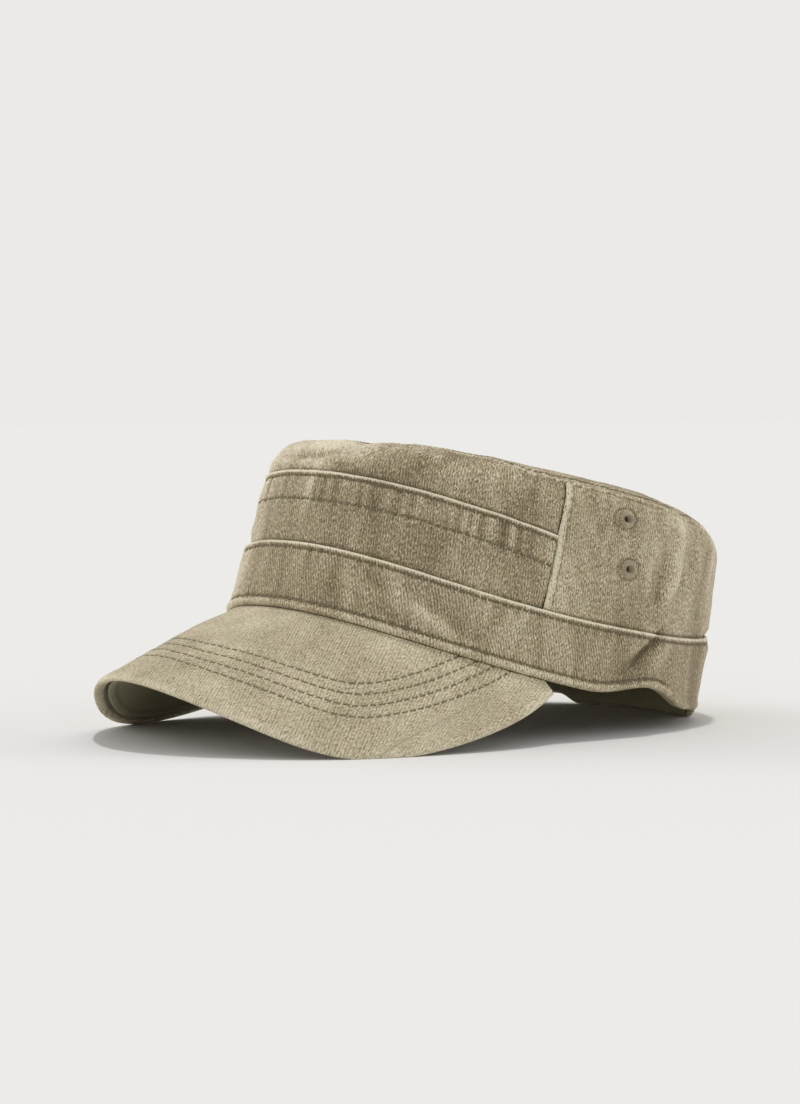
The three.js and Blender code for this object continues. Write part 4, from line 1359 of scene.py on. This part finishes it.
khaki = ((0.165, 0.130, 0.075), (0.44, 0.351, 0.221), (0.86, 0.78, 0.61))
pale_khaki = ((0.20, 0.168, 0.108), (0.535, 0.458, 0.308), (0.84, 0.77, 0.60))
olive = ((0.18, 0.165, 0.10), (0.32, 0.29, 0.175), (0.45, 0.42, 0.28))
crown_look, band_look, peak_look, inner_look = (cloth_material(**row) for row in table(
    "name colours twill_angle twill_strength streak mottle relief pitch slit_dark",
    ("washed_twill_crown", khaki, -7, 0.21, 2.1, 0.92, 1.0, wall_pitch, 0.95),
    ("washed_twill_band", khaki, -20, 0.29, 1.9, 0.80, 1.0, wall_pitch, 0.95),
    ("washed_twill_peak", pale_khaki, -35, 0.24, 1.6, 0.55, 0.9, stitch_pitch, 0.6),
    ("plain_lining", olive, 45, 0.08, 0.3, 0.25, 0.15, wall_pitch, 0.5),
))
thread_look = thread_material("sewing_thread", (0.16, 0.135, 0.082), (0.33, 0.285, 0.185))
eyelet_look = thread_material("eyelet_thread", (0.22, 0.182, 0.115), (0.58, 0.51, 0.365))

# The camera stands where the photograph was taken from. Its distance and target are in millimetres, and its
# focal length and the place of the target in the image are in pixels of the photograph
camera_azimuth = np.radians(52.104)
camera_elevation = np.radians(3.633)
camera_roll = np.radians(0.017)
camera_distance = 1260.98
camera_target = np.array([0, 9.035, 50])
camera_focal = 3188.66
aim = (31.87, 48.10)
photo_height = 1104
sensor = 36.0


def turn_to(made, right, up, back, place):
    """Sets an object's axes and its place in metres."""
    made.matrix_world = Matrix([*np.stack([right, up, back, place], 1).tolist(), [0, 0, 0, 1]])


def place_camera():
    a, e = camera_azimuth, camera_elevation
    back = np.array([np.sin(a) * np.cos(e), -np.cos(a) * np.cos(e), np.sin(e)])
    right = np.array([np.cos(a), np.sin(a), 0])
    towards = unit(back * camera_focal + right * aim[0] - np.cross(back, right) * aim[1])
    level_right = unit(np.cross([0, 0, 1.0], towards))
    level_up = np.cross(towards, level_right)
    right = level_right * np.cos(camera_roll) + level_up * np.sin(camera_roll)
    up = level_up * np.cos(camera_roll) - level_right * np.sin(camera_roll)
    data = bpy.data.cameras.new("camera")
    data.sensor_width = sensor
    data.lens = camera_focal * sensor / photo_height
    data.clip_end = 100
    made = placed("camera", data)
    turn_to(made, right, up, towards, (camera_target + back * camera_distance) / 1000)
    bpy.context.scene.camera = made


# What the camera sees behind the floor, the light from all round, and the floor's own and its shown tone
backdrop_colour = (0.832, 0.823, 0.799)
world_light = 0.635
floor_tone = 0.80
floor_shown = 0.83

# Soft lights beside the cap. The slope is from overhead
side_lights = table(
    "name slope_deg bearing_deg angle_deg brightness",
    ("left_softbox", 82.0, -58.0, 50.0, 0.43),
    ("right_softbox", 82.0, 150.0, 50.0, 0.23),
)


def add_sun(name, slope_deg, bearing_deg, angle_deg, brightness):
    """A distant soft light. Returns the share of the floor's brightness that it gives."""
    slope, bearing = np.radians([slope_deg, bearing_deg])
    sun = bpy.data.lights.new(name, "SUN")
    sun.energy = brightness * np.pi
    sun.angle = np.radians(angle_deg)
    sun.color = (1.0, 0.99, 0.97)
    from_light = np.array([np.sin(slope) * np.sin(bearing), -np.sin(slope) * np.cos(bearing), np.cos(slope)])
    aside = unit(np.cross([0, 1.0, 0], from_light))
    turn_to(placed(name, sun), aside, np.cross(from_light, aside), from_light, from_light * 2)
    return brightness * np.cos(slope)


def place_lights():
    """A pale backdrop that only the camera sees, soft light from all round, and three soft lamps."""
    world = bpy.data.worlds.new("studio")
    bpy.context.scene.world = world
    nodes = Nodes(world)
    nodes.tree.nodes.clear()
    seen = nodes.add("ShaderNodeBackground", {"Color": (*backdrop_colour, 1)})
    lit = nodes.add("ShaderNodeBackground", {"Color": (0.985, 0.99, 1.0, 1), "Strength": world_light})
    by_camera = nodes.add("ShaderNodeLightPath").outputs["Is Camera Ray"]
    backgrounds = {"Fac": by_camera, 1: lit.outputs["Background"], 2: seen.outputs["Background"]}
    mix = nodes.add("ShaderNodeMixShader", backgrounds)
    nodes.add("ShaderNodeOutputWorld", {"Surface": mix.outputs["Shader"]})
    beside = [add_sun(**row) for row in side_lights]
    add_sun("overhead_softbox", 3.0, 212.0, 3.2, floor_shown / floor_tone - world_light - sum(beside))


def build_floor():
    size = 12.0
    mesh = bpy.data.meshes.new("floor")
    corners = [(-size, -size, 0), (size, -size, 0), (size, size, 0), (-size, size, 0)]
    mesh.from_pydata(corners, [], [(0, 1, 2, 3)])
    floor = placed("floor", mesh)
    nodes = Nodes(bpy.data.materials.new("pale_floor"))
    colour = (floor_tone, floor_tone * 0.988, floor_tone * 0.968, 1)
    nodes.feed(nodes.shader, {"Base Color": colour, "Roughness": 1.0, "Specular IOR Level": 0.0})
    mesh.materials.append(nodes.owner)


def dress(piece, look, slot, *nodes):
    piece.data.materials.clear()
    piece.data.materials.append(look)
    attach(piece, "root")
    if nodes:
        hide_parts(*nodes)


bpy.context.scene.view_settings.view_transform = "Standard"
place_camera()
place_lights()
build_floor()

# Each cloth: how it is made and dressed, the node it stands for, and its length, width and area as it was cut
cloths = table(
    "name build look slot node length width area",
    ("band", build_band, band_look, "band_cloth", "band", 0.570, 0.034, 0.0169),
    ("front_upper", build_front_upper, crown_look, "crown_cloth", "front_upper_panel", 0.215, 0.050, 0.0082),
    ("front_lower", build_front_lower, crown_look, "crown_cloth", "front_lower_panel", 0.216, 0.046, 0.0086),
    ("rear", build_rear, crown_look, "crown_cloth", "rear_panel", 0.340, 0.062, 0.0177),
    ("top", build_top, crown_look, "crown_cloth", "top_panel", 0.184, 0.145, 0.0204),
    ("sweatband", build_sweatband, inner_look, "inner_cloth", "sweatband", 0.560, 0.034, 0.0184),
    ("peak", build_peak, peak_look, "peak_cloth", "peak_cover", 0.235, 0.125, 0.0160),
    ("lining", build_lining, inner_look, "inner_cloth", "peak_lining", 0.215, 0.110, 0.0134),
)
for row in cloths:
    row["piece"] = row["build"]()
    dress(row["piece"], row["look"], row["slot"], row["node"])

for side, side_name in ((1, "left"), (-1, "right")):
    for place in eyelet_places:
        eyelet = build_eyelet(side, side_name, place)
        dress(eyelet, eyelet_look, "thread", "eyelet_" + side_name + "_" + place["name"])

# The stitches, under the name of the cloth that they are sewn on
stitches = {
    "band": build_band_stitches(),
    "front_lower": build_front_stitches(),
    "rear": build_rear_stitches(),
    "top": build_top_stitches(),
    "peak": build_peak_stitches(),
}
for piece in stitches.values():
    dress(piece, thread_look, "thread")

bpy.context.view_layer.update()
